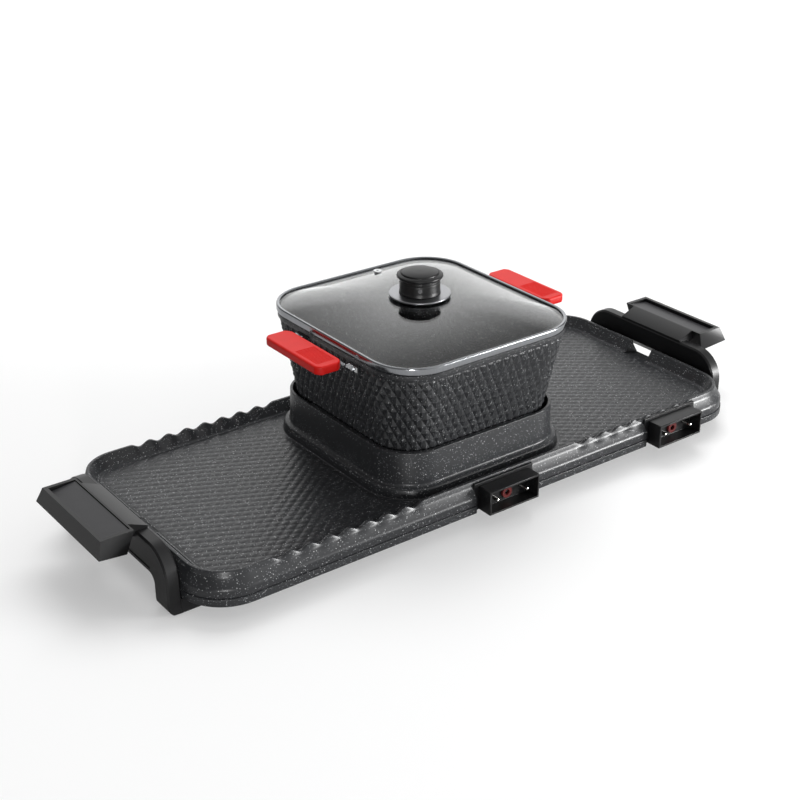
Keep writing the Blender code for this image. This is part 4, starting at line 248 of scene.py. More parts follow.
@dataclass(frozen=True)
class MetalFinish:
    """Rolled or plated metal: brushed lines along one direction that move its colour and gloss.

    Real lines are finer; these are as coarse as they need to be to show.
    """

    name: str
    dark: str
    light: str
    roughness: float
    line_mm: float
    stretch: tuple[float, float, float] = (1.0, 1.0, 0.08)
    smoothest: float = 0.7
    roughest: float = 1.4
    relief_mm: float = 0.02
    relief_strength: float = 0.15

    def build(self) -> bpy.types.Material:
        """Stretch fine noise into lines, and let it move the colour and the gloss."""
        material, tree, place = fresh_material(self.name)
        turned = add_node(tree, "Mapping", {"Scale": self.stretch}, {"Vector": place})
        lines = add_node(tree, "TexNoise", {"Scale": per_metre(self.line_mm), "Detail": 3.0},
                         {"Vector": turned.outputs["Vector"]})
        colour = add_node(tree, "Mix", {"data_type": "RGBA", 6: linear(self.dark), 7: linear(self.light)},
                          {0: lines.outputs["Fac"]})
        gloss = add_node(tree, "MapRange", {"To Min": self.roughness * self.smoothest,
                                            "To Max": self.roughness * self.roughest},
                         {"Value": lines.outputs["Fac"]})
        bump = add_node(tree, "Bump", {"Strength": self.relief_strength, "Distance": self.relief_mm * MM},
                        {"Height": lines.outputs["Fac"]})
        close_material(tree, {"Metallic": 1.0},
                       {"Base Color": colour.outputs[2], "Roughness": gloss.outputs["Result"],
                        "Normal": bump.outputs["Normal"]})
        return material


@dataclass(frozen=True)
class TemperedGlass:
    """Pressed and tempered soda-lime glass: clear, smooth and faintly grey."""

    name: str = "tempered_glass"
    tint: str = "#f4f6f6"
    roughness: float = 0.02
    film_mm: float = 30.0
    ior: float = 1.5

    def build(self) -> bpy.types.Material:
        """Clear glass whose gloss changes a little, as on a pressed sheet."""
        material, tree, place = fresh_material(self.name)
        film = add_node(tree, "TexNoise", {"Scale": per_metre(self.film_mm), "Detail": 2.0},
                        {"Vector": place})
        gloss = add_node(tree, "MapRange", {"To Min": 0.0, "To Max": self.roughness},
                         {"Value": film.outputs["Fac"]})
        close_material(tree, {"Base Color": linear(self.tint), "IOR": self.ior, "Transmission Weight": 1.0},
                       {"Roughness": gloss.outputs["Result"]})
        return material


STONE = StoneCoat()
GLASS = TemperedGlass()
# Hot-pressed resin: near black, low satin gloss, a faint grain from the tool.
BLACK_PLASTIC = MouldedFinish("moulded_phenolic", "#0f0f10", "#141415", 0.38, 1.44, 0.7, 0.05)
# Dyed ABS from a matt tool: a duller and lighter inlay.
PANEL_PLASTIC = MouldedFinish("moulded_satin_abs", "#2d2d2f", "#343436", 0.46, 1.5, 0.9, 0.05)
# Cast rubber that light enters a little: even red without hard highlights.
RED_SILICONE = MouldedFinish("moulded_red_silicone", "#cf120c", "#dc1811", 0.46, 1.36, 1.1, 0.04, 0.05)
# Vulcanised rubber: flat dark grey.
BLACK_RUBBER = MouldedFinish("moulded_rubber", "#161616", "#1d1d1d", 0.7, 1.5, 0.8, 0.06)
# Small moulded grey dot on the knob's neck, and the probe's seal: plain tones that only show as dots.
GREY_DOT = MouldedFinish("moulded_grey_dot", "#58585a", "#646466", 0.55, 1.5, 0.6, 0.02)
DARK_SEAL = MouldedFinish("moulded_dark_red_seal", "#4a1010", "#5c1614", 0.5, 1.41, 0.6, 0.03)
# Dry-pressed and fired: chalky off-white.
CERAMIC = MouldedFinish("pressed_steatite", "#e6e1d6", "#f0ece3", 0.55, 1.6, 0.6, 0.04)
# Drawn and polished sheet: bright, with soft stretched reflections. The lid's rim and the flange are rolled
# and turned and then only brushed: darker, and the flange duller.
STEEL = MetalFinish("polished_stainless", "#c3c4c6", "#dedfe0", 0.16, 0.8)
RIM_STEEL = MetalFinish("rolled_rim_steel", "#85878a", "#a4a6a9", 0.18, 0.8)
SATIN_STEEL = MetalFinish("satin_turned_steel", "#96979a", "#adaeb1", 0.3, 0.8)
# Plated screws and cover: greyish and half dull. Heater sheath: browned. Pins: faintly warm and shiny.
ZINC = MetalFinish("zinc_plated_steel", "#a3a6aa", "#c6c8ca", 0.32, 1.2)
SHEATH = MetalFinish("drawn_heater_sheath", "#6d6a66", "#8d8a85", 0.38, 0.9)
PIN_METAL = MetalFinish("nickel_plated_brass", "#c9c7c2", "#e3e1dc", 0.2, 0.6)

MADE: dict[str, bpy.types.Material] = {}


def material_of(finish: Any) -> bpy.types.Material:
    """The built material of a finish, made once."""
    if finish.name not in MADE:
        MADE[finish.name] = finish.build()
    return MADE[finish.name]


class Body(Enum):
    """The three bodies that move on their own."""

    GRILL = "grill"
    POT = "pot"
    LID = "lid"


class Slot(Enum):
    """Names of the record's finishes, carried by some new pieces but never applied to them."""

    STONE = "stone_coat"
    PLASTIC = "black_plastic"
    PANEL = "panel_plastic"
    SILICONE = "red_silicone"
    GLASS = "clear_glass"
    STEEL = "steel"


def grid_quads(rows: int, columns: int, wrap_columns: bool = True, wrap_rows: bool = False) -> np.ndarray:
    """Corner numbers of a grid's quads: (r, c), (r + 1, c), (r + 1, c + 1), (r, c + 1).

    Args:
        rows: number of rows.
        columns: number of points in a row.
        wrap_columns: whether the last column joins the first.
        wrap_rows: whether the last row joins the first.

    Returns:
        An array of shape (quads, 4).
    """
    row = np.arange(rows if wrap_rows else rows - 1)[:, None]
    column = np.arange(columns if wrap_columns else columns - 1)[None, :]
    after_row, after_column = (row + 1) % rows, (column + 1) % columns
    corners = (row * columns + column, after_row * columns + column,
               after_row * columns + after_column, row * columns + after_column)
    return np.stack(np.broadcast_arrays(*corners), axis=-1).reshape(-1, 4)


def put_in_scene(name: str, data: Any) -> bpy.types.Object:
    """Put a mesh, lamp or camera in the scene as a new object.

    Args:
        name: the object's name.
        data: what it shows.

    Returns:
        The new object.
    """
    thing = bpy.data.objects.new(name, data)
    bpy.context.scene.collection.objects.link(thing)
    return thing


def make_mesh(points: np.ndarray, faces: list[list[int]]) -> bpy.types.Mesh:
    """Make a mesh.

    Args:
        points: places in metres, any shape that ends in 3.
        faces: corner numbers of each face.

    Returns:
        The new mesh.
    """
    mesh = bpy.data.meshes.new("shape")
    mesh.from_pydata(np.asarray(points, float).reshape(-1, 3).tolist(), [], faces)
    return mesh


def finish_piece(name: str, mesh: bpy.types.Mesh, finish: Any, body: Body,
                 replaced: Iterable[str] = (), sharp_degrees: float = PLAIN_DEGREES) -> bpy.types.Object:
    """Shade a mesh smooth but for its crisp edges, give it its finish and let it ride on a body.

    Args:
        name: the piece's name.
        mesh: its shape, in metres.
        finish: what the piece is made of.
        body: the body it rides on.
        replaced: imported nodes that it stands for.
        sharp_degrees: edges that turn more than this stay crisp.

    Returns:
        The new object.
    """
    mesh.name = name
    mesh.shade_smooth()
    mesh.set_sharp_from_angle(angle=math.radians(sharp_degrees))
    mesh.materials.append(material_of(finish))
    piece = put_in_scene(name, mesh)
    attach(piece, body.value)
    if replaced:
        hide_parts(*replaced)
    log.info("%s made", name)
    return piece


def soften(piece: bpy.types.Object, width_mm: float) -> None:
    """Round a piece's sharp edges by a narrow bevel.

    Args:
        piece: the piece.
        width_mm: how far from an edge its rounding starts.
    """
    bevel = piece.modifiers.new("edge_round", "BEVEL")
    bevel.width = width_mm * MM
    bevel.segments = BEVEL_STEPS
    bevel.limit_method = "ANGLE"
    bevel.angle_limit = math.radians(MOULDED_DEGREES)
    bevel.use_clamp_overlap = True
    bevel.harden_normals = True


def rounded_profile(corners: np.ndarray, steps: int = 4, closed: bool = False) -> np.ndarray:
    """Round a profile's corners: a corner C gives way to (1-t)^2 A + 2t(1-t) C + t^2 B.

    Args:
        corners: rows of across, height and how far from the corner its rounding starts.
        steps: pieces in each rounding.
        closed: whether the last corner joins the first.

    Returns:
        Points across and up along the rounded line.
    """
    spots, cuts = corners[:, :2], corners[:, 2:3].copy()
    back, ahead = np.roll(spots, 1, axis=0) - spots, np.roll(spots, -1, axis=0) - spots
    if not closed:
        cuts[[0, -1]] = 0.0
    start = spots + back / np.maximum(np.linalg.norm(back, axis=1, keepdims=True), TINY) * cuts
    end = spots + ahead / np.maximum(np.linalg.norm(ahead, axis=1, keepdims=True), TINY) * cuts
    t = np.linspace(0.0, 1.0, steps + 1)[None, :, None]
    arcs = (1 - t) ** 2 * start[:, None] + 2 * t * (1 - t) * spots[:, None] + t ** 2 * end[:, None]
    line = arcs.reshape(-1, 2)
    keep = np.ones(len(line), bool)
    keep[1:] = np.linalg.norm(np.diff(line, axis=0), axis=1) > SAME_POINT
    return line[keep]


def outline(half_x: float, half_y: float, radius: float, sides: list[np.ndarray],
            corner_steps: int) -> tuple[np.ndarray, np.ndarray]:
    """Points and outward directions round a rounded rectangle, anticlockwise from its right side.

    Each side runs straight, a share from -1 to 1 of its half length, and a quarter circle follows it.

    Args:
        half_x: half its length along X.
        half_y: half its length along Y.
        radius: corner radius.
        sides: for right, back, left and front, the shares at which points lie.
        corner_steps: pieces in each corner.

    Returns:
        Points and directions, each of shape (n, 2).
    """
    inner = np.array([half_x - radius, half_y - radius])
    turn = np.linspace(0.0, np.pi / 2, corner_steps + 1)[1:-1]
    spots, ways = [], []
    for quarter, share in enumerate(sides):
        angle = quarter * np.pi / 2
        way = np.array([round(math.cos(angle)), round(math.sin(angle))])
        along = np.array([-way[1], way[0]])
        reach = inner * np.abs(way)
        run = share[:, None] * along * inner
        spots.append(way * (reach + radius) + run)
        ways.append(np.broadcast_to(way, spots[-1].shape))
        bend = np.stack((np.cos(angle + turn), np.sin(angle + turn)), axis=1)
        spots.append((way + along) * inner + bend * radius)
        ways.append(bend)
    return np.concatenate(spots), np.concatenate(ways)


def carry(spots: np.ndarray, ways: np.ndarray, profile: np.ndarray) -> np.ndarray:
    """Carry a profile round an outline: point + direction * across, at the profile's height.

    Args:
        spots: the outline's points.
        ways: its outward directions.
        profile: points across and up.

    Returns:
        Rings of shape (profile points, outline points, 3).
    """
    flat = spots[None] + ways[None] * profile[:, None, :1]
    height = np.broadcast_to(profile[:, None, 1:2], flat.shape[:2] + (1,))
    return np.concatenate((flat, height), axis=2)


def even_rings(half_x: Any, half_y: Any, radius: Any, offset: Any, z: Any, share: np.ndarray,
               centre_y: float = 0.0) -> np.ndarray:
    """Rings of rounded rectangles with points at equal shares of the way round, from the middle of +X.

    Each quarter of the way is half a straight side, a quarter circle and half the next side; the offset
    moves a point straight out from its side or its corner's centre.

    Args:
        half_x: half lengths along X, a number or an array of shape (rings, 1), as the next three.
        half_y: half lengths along Y.
        radius: corner radii.
        offset: how far each point lies outside, also (rings, points).
        z: heights.
        share: places round the ring, 0 to 1.
        centre_y: middle of the rings along Y.

    Returns:
        Points of shape (rings, points, 3).
    """
    straight_x, straight_y = half_x - radius, half_y - radius
    bend = radius * np.pi / 2
    quarter = straight_x + straight_y + bend
    travel = share * 4 * quarter
    turn = np.minimum(np.floor(travel / quarter), 3)
    along = travel - turn * quarter
    odd = turn % 2 == 1
    first = np.where(odd, straight_x, straight_y)
    second = np.where(odd, straight_y, straight_x)
    angle = np.clip((along - first) / radius, 0, np.pi / 2)
    x = second + (radius + offset) * np.cos(angle)
    y = first + (radius + offset) * np.sin(angle)
    x = np.where(along > first + bend, quarter - along, x)
    y = np.where(along < first, along, y)
    facing = turn * np.pi / 2
    flat_x = x * np.cos(facing) - y * np.sin(facing)
    flat_y = x * np.sin(facing) + y * np.cos(facing) + centre_y
    return np.stack((flat_x, flat_y, np.broadcast_to(z, flat_x.shape)), axis=2)


def turned_rings(line: np.ndarray, middle: tuple[float, float], steps: int) -> np.ndarray:
    """Turn radii and heights about an upright line: radius * (cos a, sin a) at each height.

    Args:
        line: points of radius and height.
        middle: where the upright line stands.
        steps: flats round the circle.

    Returns:
        Rings of shape (points, steps, 3).
    """
    angle = np.linspace(0, 2 * np.pi, steps, endpoint=False)
    radius, height = line[:, :1], line[:, 1:2]
    return np.stack((middle[0] + radius * np.cos(angle), middle[1] + radius * np.sin(angle),
                     np.broadcast_to(height, (len(line), steps))), axis=2)


def end_caps(rows: int, columns: int) -> list[list[int]]:
    """The two flat faces that close a run of rings."""
    return [list(range(columns)), list(range(rows * columns - 1, (rows - 1) * columns - 1, -1))]


def capped(rings: np.ndarray) -> list[list[int]]:
    """Faces of a run of rings that is closed by one flat face at each end."""
    rows, columns = rings.shape[:2]
    return grid_quads(rows, columns).tolist() + end_caps(rows, columns)


def slab(x: np.ndarray, y: np.ndarray, top: np.ndarray, foot: np.ndarray) -> bpy.types.Mesh:
    """Close two height fields over one grid into a slab: top, underside and the wall between them.

    Args:
        x: places along X, of shape (rows, columns), columns rising along X.
        y: places along Y, rows rising along Y.
        top: heights of the upper side.
        foot: heights of the underside.

    Returns:
        The slab's mesh.
    """
    rows, columns = x.shape
    count = rows * columns
    points = np.stack((np.stack((x, y, top), axis=2), np.stack((x, y, foot), axis=2)))
    cells = grid_quads(rows, columns, wrap_columns=False)
    number = np.arange(count).reshape(rows, columns)
    rim = np.concatenate((number[0, :-1], number[:-1, -1], number[-1, :0:-1], number[:0:-1, 0]))
    after = np.roll(rim, -1)
    wall = np.stack((rim, rim + count, after + count, after), axis=1)
    return make_mesh(points, np.concatenate((cells[:, ::-1], cells + count, wall)).tolist())


@dataclass
class GrillTray:
    """The long casting: tray wall, floor, plinth, collar and well as one surface, and two cooking faces.

    Profiles are rows of how far outside the rim's or the collar's line, height, and length of the rounding.
    """

    rim_half_length: float = 0.340
    band_set: float = 0.0108
    corner_radius: float = 0.0397
    foot_z: float = 0.017
    rim_z: float = 0.0496
    floor_z: float = 0.0372
    floor_under_z: float = 0.0337
    floor_edge: float = 0.0085
    wall: float = 0.0032
    collar_half_x: float = 0.1112
    collar_side_room: float = 0.0220
    collar_radius: float = 0.0445
    collar_top_z: float = 0.0845
    ledge_width: float = 0.0055
    ledge_depth: float = 0.0080
    ledge_gap_rim: float = 0.0028
    plinth: float = 0.0085
    well_z: float = 0.0560
    # Waves of the long rims, which fade out down to the hinge's height.
    wave_first_x: float = 0.100
    wave_pitch: float = 0.022
    wave_count: int = 8
    wave_depth: float = 0.0045
    wave_hinge_z: float = 0.0412
    # Drain notches in the end walls, with a floor that falls outwards.
    notch_half: float = 0.017
    notch_from_x: float = 0.327
    spout_from_x: float = 0.326
    spout_slope: float = 0.16
    spout_drop: float = 0.0004
    spout_wall: float = 0.0030
    # Flat windows of the long walls at the sockets, and the width of each upright step in a wall.
    window_set: float = 0.0025
    window_wall: float = 0.0012
    socket_places: tuple[float, float] = (0.0, 0.240)
    window_half: float = 0.0388
    step_run: float = 0.00003
    # Gaps in the pot's ledge, and how far their squeezed points lie apart.
    gap_past_corner: tuple[float, float] = (0.0030, 0.0200)
    gap_lift: float = 0.0002
    gap_spread_mm: float = 0.01
    # Profile points of the foot after its lowest one, and points along the sides.
    foot_points: int = 4
    short_side_points: int = 41
    long_side_points: int = 233
    # Cooking faces: room round them, their grid and how far its rows crowd at the ends, and their relief.
    face_set: float = 0.0052
    face_hub_set: float = 0.0034
    face_rows: int = 210
    face_columns: int = 170
    face_crowding: float = 0.25
    face_corner_limit: float = 0.995
    face_hub_limit: float = 0.80
    face_fade: float = 0.0040
    face_top_lift: float = 0.0002
    face_foot_lift: float = 0.00004
    scale_pitch: float = 0.0085
    scale_slants: tuple[float, float] = (-37.0, 26.0)
    scale_rise: float = 0.0006
    corner_steps: int = 12

    def __post_init__(self) -> None:
        """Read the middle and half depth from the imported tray."""
        low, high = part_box("grill_tray")
        self.centre_y = (low[1] + high[1]) / 2
        self.rim_half_depth = (high[1] - low[1]) / 2 - self.band_set
        self.collar_half_y = self.rim_half_depth - self.collar_side_room

    def side_shares(self) -> list[np.ndarray]:
        """Where points lie along the four straight sides, with close pairs at each upright step."""
        inner_x = self.rim_half_length - self.corner_radius
        inner_y = self.rim_half_depth - self.corner_radius
        notch, run = self.notch_half / inner_y, self.step_run / inner_y
        short = np.union1d(np.linspace(-1, 1, self.short_side_points),
                           np.array([-notch - run, -notch, notch, notch + run]))
        half, run = self.window_half, self.step_run
        steps = np.concatenate([np.array([place - half - run, place - half, place + half, place + half + run])
                                for place in self.socket_places]) / inner_x
        long = np.union1d(np.linspace(-1, 1, self.long_side_points), steps)
        return [short, long, short, long]

    def collar_profile(self) -> np.ndarray:
        """From the well's floor up inside the collar, over its rim and down to the tray floor."""
        top, ledge = self.collar_top_z, -self.ledge_width
        foot = top - self.ledge_depth
        gap = -self.ledge_gap_rim
        return rounded_profile(np.array([
            (-0.0105, self.well_z, 0), (-0.0020, self.well_z, 0.0070), (-0.0020, foot, 0.0006),
            (ledge, foot + self.ledge_width - 0.0020, 0.0006), (ledge, top, 0.0007),
            (gap - 0.00004, top, 0), (gap, top, 0), (0.0, top, 0.0007),
            (0.0012, 0.0484, 0.0024), (0.0066, 0.0470, 0.0012), (self.plinth - 0.0004, 0.0420, 0.0016),
            (self.plinth, self.floor_z, 0.0013), (self.plinth + 0.0040, self.floor_z, 0),
        ]))

    def tray_profile(self) -> np.ndarray:
        """From the floor up the wall, over the rim, down the skirt with its groove, and up inside."""
        edge = -self.floor_edge
        return rounded_profile(np.array([
            (edge - 0.0050, self.floor_z, 0), (edge - 0.0036, self.floor_z, 0.0004),
            (edge - 0.0028, self.floor_z + 0.0006, 0.0004), (edge - 0.0020, self.floor_z, 0.0004),
            (edge, self.floor_z, 0.0015), (-0.0010, self.rim_z, 0.0008), (0.0022, self.rim_z, 0.0008),
            (0.0034, 0.0440, 0.0016), (0.0072, 0.0378, 0.0022), (0.0100, 0.0340, 0.0018),
            (0.0100, 0.0261, 0.0003), (0.0086, 0.0254, 0.0003), (self.band_set, 0.0247, 0.0004),
            (self.band_set, self.foot_z, 0.0008), (self.band_set - self.wall, self.foot_z, 0.0005),
            (0.0068, 0.0268, 0.0004), (0.0068, 0.0326, 0.0008), (0.0040, 0.0364, 0.0008),
            (0.0005, 0.0423, 0.0006), (-0.0017, 0.0423, 0.0006),
            (self.wall - self.floor_edge, self.floor_under_z + 0.0014, 0.0006),
            (edge, self.floor_under_z, 0),
        ]), steps=3)

    def wave_drop(self, x: np.ndarray) -> np.ndarray:
        """How far the rim dips: depth * (1 - cos(2 pi * run / pitch)) / 2 along the waves.

        Args:
            x: places along the tray.

        Returns:
            The dip at each place.
        """
        run = np.abs(x) - self.wave_first_x
        inside = (run >= 0) & (run <= self.wave_count * self.wave_pitch)
        return np.where(inside, self.wave_depth * (1 - np.cos(2 * np.pi * run / self.wave_pitch)) / 2, 0.0)

    def shape_wall(self, rings: np.ndarray) -> np.ndarray:
        """Dip the long rims in waves, sink the wall in the end notches, and flatten it at the sockets.

        Args:
            rings: the wall's rings.

        Returns:
            The rings with those shapes in them.
        """
        x, y, z = rings[..., 0], rings[..., 1] - self.centre_y, rings[..., 2]
        long_wall = np.abs(y) > self.rim_half_depth - self.floor_edge
        straight = np.abs(x) < self.rim_half_length - self.corner_radius
        drop = np.where(long_wall & straight, self.wave_drop(x), 0.0)
        share = np.clip((z - self.wave_hinge_z) / (self.rim_z - self.wave_hinge_z), 0.0, 1.0)
        z = z - drop * share
        spout = self.floor_z - self.spout_drop - (np.abs(x) - self.spout_from_x) * self.spout_slope
        in_notch = (np.abs(y) <= self.notch_half + SAME_POINT) & (np.abs(x) > self.notch_from_x)
        hollow = np.arange(rings.shape[0])[:, None] > self.hollow_start
        z = np.where(in_notch, np.minimum(z, np.where(hollow, spout - self.spout_wall, spout)), z)
        wall_y = -(self.rim_half_depth + self.window_set)
        at_socket = np.zeros(x.shape, bool)
        for place in self.socket_places:
            at_socket |= np.abs(x - place) <= self.window_half + SAME_POINT
        y = np.where(at_socket & (y < wall_y), wall_y + np.where(hollow, self.window_wall, 0.0), y)
        return np.stack((x, y + self.centre_y, z), axis=2)

    def open_ledge(self, rings: np.ndarray) -> np.ndarray:
        """Take the pot ledge away in the front right and back left corners.

        Its points there sink to the ledge's foot and lie side by side a hair apart, so that none coincide.

        Args:
            rings: the collar's rings.

        Returns:
            The rings with the ledge gone in both corners.
        """
        x, y = rings[..., 0], rings[..., 1] - self.centre_y
        start_x = self.collar_half_x - self.collar_radius - self.gap_past_corner[0]
        start_y = self.collar_half_y - self.collar_radius - self.gap_past_corner[1]
        gap = ((x > start_x) & (y < -start_y)) | ((x < -start_x) & (y > start_y))
        profile = self.collar_profile()
        foot = self.collar_top_z - self.ledge_depth
        inner = (profile[:, 0] < -self.ledge_gap_rim - MERGED) & (profile[:, 1] > foot)
        step = np.arange(len(profile)) * self.gap_spread_mm * MM
        low = np.stack((step - step[-1] - self.ledge_gap_rim, foot + self.gap_lift + step), axis=1)
        moved = carry(self.collar_spots, self.collar_ways, low)
        return np.where((gap & inner[:, None])[..., None], moved, rings)

    def casting(self) -> None:
        """Make the casting from the collar's rings, the tray's rings and the underside of the well."""
        sides = self.side_shares()
        even = [np.linspace(-1, 1, len(share)) for share in sides]
        offset = np.array([0.0, self.centre_y])
        spots, ways = outline(self.rim_half_length, self.rim_half_depth, self.corner_radius, sides,
                              self.corner_steps)
        self.collar_spots, self.collar_ways = outline(self.collar_half_x, self.collar_half_y,
                                                      self.collar_radius, even, self.corner_steps)
        self.collar_spots = self.collar_spots + offset
        collar = self.open_ledge(carry(self.collar_spots, self.collar_ways, self.collar_profile()))
        profile = self.tray_profile()
        self.hollow_start = int(np.argmin(profile[:, 1])) + self.foot_points
        tray = self.shape_wall(carry(spots + offset, ways, profile))
        under = carry(self.collar_spots, self.collar_ways, np.array([
            (self.plinth - 0.0035, self.floor_under_z), (-0.0009, 0.0440),
            (-0.0035, self.well_z - 0.0035)]))
        rings = np.concatenate((collar, tray, under))
        finish_piece("tray_casting", make_mesh(rings, capped(rings)), STONE, Body.GRILL,
                     ["grill_tray"])

    def cooking_face(self, side: int) -> None:
        """Lay a thin cooking face with fish-scale relief over one half of the floor.

        The height is rise * sqrt(|sin(pi u) sin(pi v)|), where u and v count the ridges of two slanting
        families: (y cos a - x sin a) / pitch for each slant a. It fades out at the border.

        Args:
            side: 1 for the right half, -1 for the left one.
        """
        half_y = self.rim_half_depth - self.floor_edge - self.face_set
        outer = self.rim_half_length - self.floor_edge - self.face_set
        inner = self.collar_half_x + self.plinth + self.face_hub_set
        bend = self.corner_radius - self.floor_edge - self.face_set
        share = np.linspace(-1, 1, self.face_rows)
        y = (half_y * np.sin(share * np.pi / 2) * self.face_crowding
             + half_y * share * (1 - self.face_crowding))
        into = np.clip((np.abs(y) - (half_y - bend)) / bend, 0, 1)
        outer_x = outer - bend * (1 - np.sqrt(1 - np.minimum(into, self.face_corner_limit) ** 2))
        hub = self.collar_radius + self.plinth + self.face_hub_set
        round_in = np.clip((np.abs(y) - (self.collar_half_y - self.collar_radius)) / hub, 0, 1)
        inner_x = inner - hub * (1 - np.sqrt(1 - np.minimum(round_in, self.face_hub_limit) ** 2))
        across = np.linspace(0, 1, self.face_columns)[None, :]
        x = inner_x[:, None] + (outer_x - inner_x)[:, None] * across
        y = np.broadcast_to(y[:, None], x.shape)
        near = np.minimum(np.minimum(x - inner_x[:, None], outer_x[:, None] - x), half_y - np.abs(y))
        fade = np.clip(near / self.face_fade, 0, 1)
        slants = np.radians(self.scale_slants)
        u, v = ((y * np.cos(slant) - x * np.sin(slant)) / self.scale_pitch for slant in slants)
        scales = np.sqrt(np.abs(np.sin(np.pi * u) * np.sin(np.pi * v)))
        top = self.floor_z + self.face_top_lift + self.scale_rise * scales * fade
        foot = np.full(x.shape, self.floor_z + self.face_foot_lift)
        if side < 0:
            x, y, top = -x[:, ::-1], y[:, ::-1], top[:, ::-1]
        name = "cooking_face_right" if side > 0 else "cooking_face_left"
        finish_piece(name, slab(x, y + self.centre_y, top, foot), STONE, Body.GRILL)

    def build(self) -> None:
        """Build the casting and both cooking faces."""
        self.casting()
        for side in (1, -1):
            self.cooking_face(side)


@dataclass
class CookPot:
    """The cast pot: rounded inside, flat lip, diamond wall and rounded base as one surface."""

    top_half: tuple[float, float] = (0.1146, 0.1222)
    foot_half: tuple[float, float] = (0.1014, 0.1031)
    top_radius: float = 0.0460
    foot_radius: float = 0.0400
    lip_half: tuple[float, float] = (0.1176, 0.1260)
    lip_radius: float = 0.0490
    lip_height: float = 0.0056
    wall: float = 0.0030
    base_round: float = 0.0150
    # The relief's depth, half diamonds round the pot and down it, and the steps in each.
    relief: float = 0.0022
    columns: int = 168
    rows: int = 11
    fine: int = 5
    pattern_below_lip: float = 0.0086
    pattern_above_base: float = 0.0117
    pattern_fade_rows: float = 0.25
    inside_round_share: float = 0.9
    base_round_share: float = 0.75
    round_steps: int = 8
    # Pads: how far out and in from the wall, their place and size.
    pad_reach: float = 0.0026
    pad_root: float = 0.0012
    pad_from_y: float = 0.0382
    pad_width: float = 0.0163
    pad_below_lip: float = 0.0148
    pad_height: float = 0.0082
    pad_edge_mm: float = 0.6

    def __post_init__(self) -> None:
        """Read the pot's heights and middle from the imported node."""
        low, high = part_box("cook_pot")
        self.base_z, self.lip_z = low[2], high[2]
        self.centre_y = (low[1] + high[1]) / 2
        self.pattern_top = self.lip_z - self.pattern_below_lip
        self.pattern_foot = self.base_z + self.pattern_above_base

    def wall_ring(self, offset: np.ndarray, z: np.ndarray, size_z: np.ndarray,
                  share: np.ndarray) -> np.ndarray:
        """Points of the leaning wall: even steps round the rounded rectangle at each height.

        Args:
            offset: how far each point lies outside the wall, of shape (rings, points).
            z: height of each ring, of shape (rings, 1).
            size_z: height at which each ring takes its size, of shape (rings, 1).
            share: place round the ring, 0 to 1, of shape (1, points) or (rings, points).

        Returns:
            Points of shape (rings, points, 3).
        """
        lean = (size_z - self.pattern_foot) / (self.pattern_top - self.pattern_foot)
        half_x = self.foot_half[0] + (self.top_half[0] - self.foot_half[0]) * lean
        half_y = self.foot_half[1] + (self.top_half[1] - self.foot_half[1]) * lean
        radius = self.foot_radius + (self.top_radius - self.foot_radius) * lean
        return even_rings(half_x, half_y, radius, offset, z, share, self.centre_y)

    def pyramid(self, s: np.ndarray, t: np.ndarray) -> np.ndarray:
        """Relief of the diamonds: relief * (1 - max(|p|, |q|)), with p and q along the two diagonals.

        Args:
            s: half diamonds round the pot.
            t: half diamonds down it.

        Returns:
            How far each point stands out.
        """
        p = np.abs((s + t) % 2 - 1)
        q = np.abs((s - t) % 2 - 1)
        return self.relief * (1 - np.maximum(p, q))

    def shell(self) -> None:
        """Make the pot from its inside rings, lip rings, the diamond band and the base rings."""
        around = self.columns * self.fine
        share = (np.arange(around) / around)[None, :]
        zero = np.zeros((1, around))
        inside_z = self.base_z + self.wall
        inner = rounded_profile(np.array([
            (-self.wall - self.base_round, inside_z, 0),
            (-self.wall, inside_z, self.base_round * self.inside_round_share),
            (-self.wall, self.pattern_top, 0)]), self.round_steps)
        size_z = np.maximum(inner[:, 1:], self.pattern_foot)
        rings = [self.wall_ring(inner[:, :1] + zero, inner[:, 1:], size_z, share)]
        lip_foot = self.lip_z - self.lip_height
        rise = np.array([[self.lip_z]])
        for offset, z in ((-self.wall + 0.0002, self.lip_z - 0.0008), (-self.wall + 0.0008, self.lip_z)):
            rings.append(self.wall_ring(zero + offset, np.array([[z]]), rise, share))
        lip = rounded_profile(np.array([(-0.0020, self.lip_z, 0), (0, self.lip_z, 0.0010),
                                        (0, lip_foot, 0.0010), (-0.0018, lip_foot, 0)]))
        rings.append(even_rings(self.lip_half[0], self.lip_half[1], self.lip_radius,
                                lip[:, :1] + zero, lip[:, 1:], share, self.centre_y))
        neck = np.array([[self.pattern_top + 0.0020]])
        rings.append(self.wall_ring(zero, neck, neck, share))
        levels = self.rows * self.fine
        s = np.arange(around)[None, :] / self.fine
        t = np.arange(levels + 1)[:, None] / self.fine
        z = self.pattern_top + (self.pattern_foot - self.pattern_top) * t / self.rows
        edge = np.clip(np.minimum(t, self.rows - t) / self.pattern_fade_rows, 0, 1)
        band = self.wall_ring(self.pyramid(s, t) * edge, z, z, share)
        band_start = sum(len(ring) for ring in rings)
        rings.append(band)
        base = rounded_profile(np.array([
            (0, self.pattern_foot - 0.0002, 0), (0, self.base_z, self.base_round * self.base_round_share),
            (-self.base_round, self.base_z, 0)]), self.round_steps)
        rings.append(self.wall_ring(base[:, :1] + zero, base[:, 1:],
                                    np.full((len(base), 1), self.pattern_foot), share))
        points = np.concatenate(rings)
        finish_piece("pot_shell", make_mesh(points, self.faces(*points.shape[:2], band_start, levels)),
                     STONE, Body.POT, ["cook_pot"], FACET_DEGREES)

